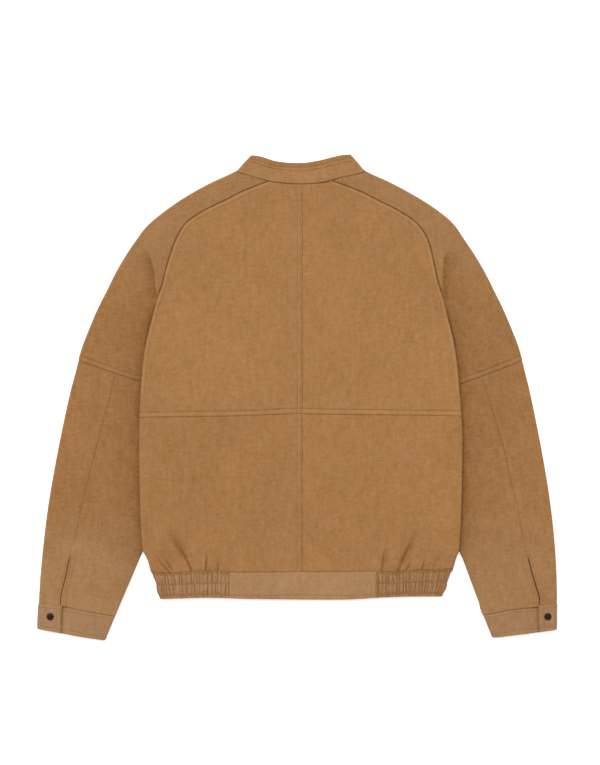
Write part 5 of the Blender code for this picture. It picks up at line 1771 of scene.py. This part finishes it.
def gathered(side, word):
    """The rows run down the band; its columns run from the plain back over the side's fold to the plain front."""
    cloth = Cloth(side, ELASTIC_WALL)
    rng = np.random.default_rng(90 + side)
    widths = rng.uniform(0.5, 1.5, GATHERS)
    borders = np.concatenate(([0.0], np.cumsum(widths))) / widths.sum()
    tall = rng.uniform(0.35, 1.0, (3, GATHERS))
    cut = np.where(rng.random((3, GATHERS + 1)) < 0.5, rng.uniform(0.75, 1.0, (3, GATHERS + 1)),
                   rng.uniform(0.25, 0.6, (3, GATHERS + 1)))
    lean = rng.uniform(-0.22, 0.22, (3, GATHERS + 1)) / GATHERS
    lean[0, LEANING[side]:LEANING[side] + 2] = -1.1 / GATHERS
    lean[:, [0, -1]] = 0.0
    radius = 0.5 * ELASTIC_Z
    mean_length = 2 * (float(body_edge(side)(-300.0)) - radius - ELASTIC_START_D[side]) + math.pi * radius
    start = ELASTIC_START_D[side] + SEAM
    which = np.repeat(np.arange(GATHERS), GATHER_POINTS)
    within = np.tile(np.arange(GATHER_POINTS) / GATHER_POINTS, GATHERS)
    which, within = np.append(which, GATHERS - 1), np.append(within, 1.0)
    puff = (1 - np.abs(2 * within - 1) ** 2.2) ** 0.8
    valley, crest = [], []
    for share in GATHER_SHARES:
        edge_y = mix(HEM_TOP_Y, HEM_BOTTOM_Y, share)
        flat = float(body_edge(side)(edge_y)) - radius - start
        length = 2 * flat + math.pi * radius
        channel = int(np.searchsorted(STITCH_SHARES[1:], share))
        top, low = ((0.0, STITCH_SHARES[1]), STITCH_SHARES[1:], (STITCH_SHARES[2], 1.0))[channel]
        down_channel = (share - 0.5 * (top + low)) / (0.5 * (low - top))
        pinch = min(abs(share - place) for place in STITCH_SHARES)
        full = float(smooth(pinch / 0.10)) * 0.85 + 0.15
        moved = borders + lean[channel] * max(-1.0, min(1.0, down_channel))
        wander = swell(7.3 * np.arange(1, GATHERS), np.full(GATHERS - 1, 9 * share), 1.0, 95 + side)
        moved[1:-1] += 0.10 / GATHERS * wander
        along = mix(moved[which], moved[which + 1], within)
        deep = mix(cut[channel][which], cut[channel][which + 1], within)
        height = puff * mix(1.0, tall[channel][which], 0.6) * full
        sunk = GATHER_DEPTH * (1 - height - 0.7 * (1 - puff) * (1 - deep))
        sunk = np.clip(sunk * (0.3 + 0.7 * full ** 0.5) + 0.6 * (1 - full), 0, GATHER_DEPTH + 0.3)
        run = along * mean_length
        from_end = np.minimum(run, mean_length - run)
        kept = from_end + 0.5 * (length - mean_length) * (2 * from_end / mean_length) ** 3
        run = np.where(run < 0.5 * mean_length, kept, length - kept)
        angle = np.clip((run - flat) / radius, 0, math.pi)
        d = start + np.where(run <= flat, run, np.where(run >= length - flat, length - run, flat))
        above = smooth(0.5 + 0.5 * np.cos(angle))
        row_top = mix(HEM_TOP_Y, hem_seam(side * d), above) - SEAM
        reach = radius - sunk
        out, level = np.sin(angle), np.cos(angle)
        cloth.row((d + reach * out, mix(row_top, hem_bottom(side * d), share), radius + reach * level,
                   out, 0.0, level, ELASTIC_WALL - sunk))
        cloth.rows[-1][0, 0] = cloth.rows[-1][-1, 0] = start
        valley.append(deep * bump(np.minimum(within, 1 - within) * widths[which] / 0.16))
        crest.append(height)
    cloth.settle()
    valley, crest = np.array(valley), np.array(crest)
    crimp = swell(cloth.across / 1.5, cloth.along / 9, 1.0, 97) * smooth(2 * cloth.up)
    cloth.relief += 0.16 * crimp
    # Painted shade in the valleys between the puffs, where they are low and in the small crimps; GATHER_DULL adds a
    # darker tone all over.
    cloth.mark("groove", 0.60 * valley)
    cloth.mark("shade", GATHER_DULL[side] + 0.42 * (1 - crest) + 0.22 * np.maximum(-crimp, 0))
    for place in STITCH_SHARES:
        pinched = bump((GATHER_SHARES[:, None] - place) / 0.016)
        # Painted shade where each stitch row pinches the puffs.
        cloth.mark("groove", pinched * (0.22 + 0.5 * valley))
    # A painted highlight on the puffs' crests.
    cloth.mark("painted_highlight_and_tone", 0.5 * crest)
    edge_gap = np.minimum(cloth.across, cloth.across[:, -1:] - cloth.across)
    # Painted shade at both ends, where the piece meets the plain band.
    cloth.mark("groove", 0.3 * bump(edge_gap / 0.8))
    return cloth.make(f"hem_elastic_suede_{word}", BAND_SUEDE, "band suede"), cloth


elastics, elastic_cloths = {}, {}
for side, word in SIDES:
    elastics[side], elastic_cloths[side] = gathered(side, word)
    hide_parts(f"hem_elastic_{word}")
    tell(elastics[side])

# %% [markdown]
# ## Stitches
# A topstitched seam shows short loops of thread, each sinking into the suede at its ends. One stitch is
# modelled once, and Geometry Nodes lay it along every stitch line: the line is cut into equal lengths, a stitch is
# placed on each with its length along the line and its back to the cloth, and the result is made real.

# %% The stitch tree
STITCH_PITCH = 3.3
STITCH_LENGTH = 2.5
STITCH_THICK = 0.62


def stitch_tree():
    tree = bpy.data.node_groups.new("stitch row", "GeometryNodeTree")
    for label, kind, value in (
        ("Geometry", "Geometry", None), ("Pitch", "Float", STITCH_PITCH * MM),
        ("Stitch length", "Float", STITCH_LENGTH * MM), ("Thread thickness", "Float", STITCH_THICK * MM),
        ("Waver", "Float", 0.09), ("Seed", "Int", 4), ("Thread", "Material", None),
    ):
        add_socket(tree, label, kind, value)
    add_socket(tree, "Geometry", "Geometry", in_out="OUTPUT")
    given = node(tree, "NodeGroupInput").outputs
    result = node(tree, "NodeGroupOutput").inputs
    path = node(tree, "GeometryNodeMeshToCurve")
    cut = node(tree, "GeometryNodeResampleCurve", mode="LENGTH")
    bead = fill(node(tree, "GeometryNodeMeshUVSphere"), Segments=6, Rings=5, Radius=0.5)
    size = node(tree, "ShaderNodeCombineXYZ")
    place = node(tree, "GeometryNodeInstanceOnPoints")
    outward = node(tree, "GeometryNodeInputNamedAttribute", data_type="FLOAT_VECTOR")
    outward.inputs["Name"].default_value = "outward"
    turn = node(tree, "FunctionNodeAxesToRotation", primary_axis="X", secondary_axis="Z")
    waver = node(tree, "FunctionNodeRandomValue", data_type="FLOAT")
    spin = node(tree, "FunctionNodeAxisAngleToRotation")
    spun = node(tree, "FunctionNodeRotateRotation", rotation_space="LOCAL")
    real = node(tree, "GeometryNodeRealizeInstances")
    soft = node(tree, "GeometryNodeSetShadeSmooth")
    finish = node(tree, "GeometryNodeSetMaterial")
    link(
        tree,
        given["Geometry"], path.inputs["Mesh"],
        path.outputs["Curve"], cut.inputs["Curve"],
        given["Pitch"], cut.inputs["Length"],
        cut.outputs["Curve"], place.inputs["Points"],
        bead.outputs["Mesh"], place.inputs["Instance"],
        node(tree, "GeometryNodeInputTangent").outputs["Tangent"], turn.inputs["Primary Axis"],
        outward.outputs["Attribute"], turn.inputs["Secondary Axis"],
        maths(tree, "MULTIPLY", given["Waver"], -1.0), waver.inputs[2],
        given["Waver"], waver.inputs[3],
        given["Seed"], waver.inputs["Seed"],
        waver.outputs[1], spin.inputs["Angle"],
        turn.outputs["Rotation"], spun.inputs["Rotation"],
        spin.outputs["Rotation"], spun.inputs["Rotate By"],
        spun.outputs["Rotation"], place.inputs["Rotation"],
        given["Stitch length"], size.inputs["X"],
        given["Thread thickness"], size.inputs["Y"],
        given["Thread thickness"], size.inputs["Z"],
        size.outputs["Vector"], place.inputs["Scale"],
        place.outputs["Instances"], real.inputs["Geometry"],
        real.outputs["Geometry"], soft.inputs["Geometry"],
        soft.outputs["Geometry"], finish.inputs["Geometry"],
        given["Thread"], finish.inputs["Material"],
        finish.outputs["Geometry"], result["Geometry"],
    )
    return tree


STITCHES = stitch_tree()
print("stitch tree:", len(STITCHES.nodes), "nodes")

# %% [markdown]
# A stitch line is drawn in plan and dropped onto the finished suede from above. So every stitch sits in its
# own groove, however the panel folds there. The rows on the gathered sides follow the piece's own grid instead.

# %% Dropping stitch lines onto the suede
DROP_STEP = 1.5                 # millimetres between dropped points
DROP_FROM = 0.05                # metres, well above the jacket


def skin_of(pieces):
    """A search tree over the surfaces of some pieces, for dropping lines onto them."""
    points, faces = [], []
    for piece in pieces:
        first = len(points)
        points += [vertex.co[:] for vertex in piece.data.vertices]
        faces += [[first + i for i in polygon.vertices] for polygon in piece.data.polygons]
    return BVHTree.FromPolygons(points, faces)


def drop(skin, line):
    """Points and outward directions along a line (s, y) on the suede, broken where there is none."""
    line = np.asarray(line, float)
    length = np.concatenate(([0.0], np.cumsum(np.hypot(*np.diff(line, axis=0).T))))
    at = np.arange(0, length[-1], DROP_STEP)
    s, y = np.interp(at, length, line[:, 0]), np.interp(at, length, line[:, 1])
    runs = [[]]
    for x, y in zip(s + CENTRE_X, y + CENTRE_Y):
        hit = skin.ray_cast(Vector((x * MM, y * MM, DROP_FROM)), Vector((0, 0, -1)))[0]
        if hit is None:
            runs.append([])
        else:
            runs[-1].append((hit, Vector((0, 0, 1))))
    return [run for run in runs if len(run) > 3]


def stitch_rows(name, runs, raise_by=0.05):
    """Lays stitches along the runs, makes them a plain mesh and gives it to the jacket."""
    points, edges, outward = [], [], []
    for run in runs:
        first = len(points)
        for place, out in run:
            points.append(place + out * raise_by * MM)
            outward += list(out)
        edges += [(i, i + 1) for i in range(first, len(points) - 1)]
    mesh = bpy.data.meshes.new(name + "_lines")
    mesh.from_pydata(points, edges, [])
    mesh.attributes.new("outward", "FLOAT_VECTOR", "POINT").data.foreach_set("vector", outward)
    lines = put(name + "_lines", mesh)
    modifier = lines.modifiers.new("stitches", "NODES")
    modifier.node_group = STITCHES
    sockets = {item.name: item.identifier for item in STITCHES.interface.items_tree if item.in_out == "INPUT"}
    modifier[sockets["Pitch"]] = STITCH_PITCH * MM
    modifier[sockets["Thread"]] = THREAD
    evaluated = lines.evaluated_get(bpy.context.evaluated_depsgraph_get())
    made = bpy.data.meshes.new_from_object(evaluated)
    made.name = name
    bpy.data.objects.remove(lines)
    piece = put(name, made)
    return piece


def grid_run(cloth, row, first, last):
    """A run along one row of a piece's own grid."""
    run = []
    for column in range(first, last, 3):
        out = cloth.out[row, column]
        place = np.array((cloth.s[row, column], cloth.y[row, column], cloth.z[row, column]))
        place = place + out * (cloth.bend[row, column] + cloth.relief[row, column]) + (CENTRE_X, CENTRE_Y, 0)
        run.append((Vector(place * MM), Vector(out)))
    return run


print("stitches are", STITCH_LENGTH, "mm long, one every", STITCH_PITCH, "mm")

# %% [markdown]
# The rows follow the seams at the distances that the suede was shaped for above.

# %% All stitch rows
body_skin = skin_of(list(backs.values()))
runs = []
for gap in CENTRE_ROWS:
    runs += drop(body_skin, [(BACK_SEAM_D - gap, NECK_Y - 2), (BACK_SEAM_D - gap, HEM_TOP_Y + 1)])
runs += drop(body_skin, YOKE_LINE[2:-2] + (0, YOKE_ROW))
for side, word in SIDES:
    runs += drop(body_skin, beside(SIDE_LINE[side], -side * SIDE_ROW)[2:])
stitches = {"back_stitches": stitch_rows("back_stitches", runs)}

for side, word in SIDES:
    sleeve_skin = skin_of([sleeves[side, part] for part in ("upper", "inner", "outer")])
    runs = drop(sleeve_skin, beside(CROSS_SEAM[side], side * CROSS_ROW))
    at_vent = LENGTH_SEAM[side][LENGTH_SEAM[side][:, 1] < VENT_Y + 9]
    for gap in (*VENT_ROWS["outer"], *(-gap for gap in VENT_ROWS["inner"])):
        runs += drop(sleeve_skin, beside(at_vent, side * gap))
    name = f"sleeve_stitches_{word}"
    stitches[name] = stitch_rows(name, runs)
for name, piece in stitches.items():
    print(name, len(piece.data.polygons), "faces")

runs = []
for cloth in elastic_cloths.values():
    for share in STITCH_SHARES:
        runs.append(grid_run(cloth, int(np.abs(GATHER_SHARES - share).argmin()), 2, cloth.s.shape[1] - 2))
stitches["elastic_stitches"] = stitch_rows("elastic_stitches", runs, raise_by=0.1)

band_skin = skin_of([collar_piece, hem_back, *cuffs.values()])
along_collar, along_seam = np.linspace(-76, 76, 80), np.linspace(-92, 92, 90)
runs = drop(band_skin, np.column_stack((along_seam, back_seam_y(along_seam) + 3.9)))
for gap in COLLAR_TOP_ROWS:
    runs += drop(band_skin, np.column_stack((along_collar, collar_top(along_collar) - gap)))
along_hem = np.linspace(-band_end[-1] + 1, band_end[1] - 1, 90)
runs += drop(band_skin, np.column_stack((along_hem, hem_row(along_hem, low_row_share(along_hem)))))
for side, word in SIDES:
    s_border = side * (band_end[side] - 1.4)
    runs += drop(band_skin, [(s_border, HEM_TOP_Y - 4), (s_border, HEM_BOTTOM_Y + 1)])
stitches["band_stitches"] = stitch_rows("band_stitches", runs)


def cuff_line(side, first, last, v_first, v_last):
    """A line on a cuff, between places that are this far in from its outer fold, at shares down its length."""
    points = []
    for t in np.linspace(0, 1, 24):
        v, q = mix(v_first, v_last, t), mix(first, last, t)
        inner_d, inner_y, outer_d, outer_y, lap = cuff_row(side, v)
        share = 1 - q / math.dist((inner_d, inner_y), (outer_d, outer_y))
        lifted = tab_lift(side, q, lap, v) if q < lap else 0.0
        points.append((side * mix(inner_d, outer_d, share),
                       mix(inner_y, outer_y, share) + cuff_bow(side, v, share) + lifted))
    return points


for side, word in SIDES:
    lap_top, lap_low = CUFF_LAPS[side]
    lines = [(lap_top - TAB_ROW, lap_low - TAB_ROW, 0.15, 0.82)]
    for v in (1 - CUFF_ROWS_FROM[1] / CUFF_LENGTH, CUFF_ROWS_FROM[0] / CUFF_LENGTH):
        lap = mix(lap_top, lap_low, v)
        lines += [(lap + 1, 112.0, v, v), (3.0, lap - 1, v, v)]
    runs = [run for line in reversed(lines) for run in drop(band_skin, cuff_line(side, *line))]
    name = f"cuff_stitches_{word}"
    stitches[name] = stitch_rows(name, runs)
print("stitch faces in all:", sum(len(piece.data.polygons) for piece in stitches.values()))

# %% [markdown]
# ## The cut of each piece
# Every suede piece is a sheet of cloth with the size that it was cut to. The gathered sides were cut longer
# than they lie, because the elastic draws them in.

# %% Cut sizes
GATHER_FULLNESS = 1.3
cloth_pieces = [*backs.values(), *fronts.values(), *sleeves.values(), *cuffs.values(), collar_piece, hem_back,
                *hem_fronts.values(), *elastics.values()]
for piece in [*cloth_pieces, *snaps.values(), *stitches.values()]:
    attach(piece, "root")
whole = 0.0
for piece in cloth_pieces:
    width, length, area = piece["cut"]
    full = GATHER_FULLNESS if piece in elastics.values() else 1.0
    under = "floor" if "front" in piece.name else "front_suede_left"
    whole += area * full
    print(f"{piece.name}: {1000 * width * full:.0f} x {1000 * length:.0f} mm, {area * full:.4f} square metres")
print("the whole cut:", round(whole, 3), "square metres")
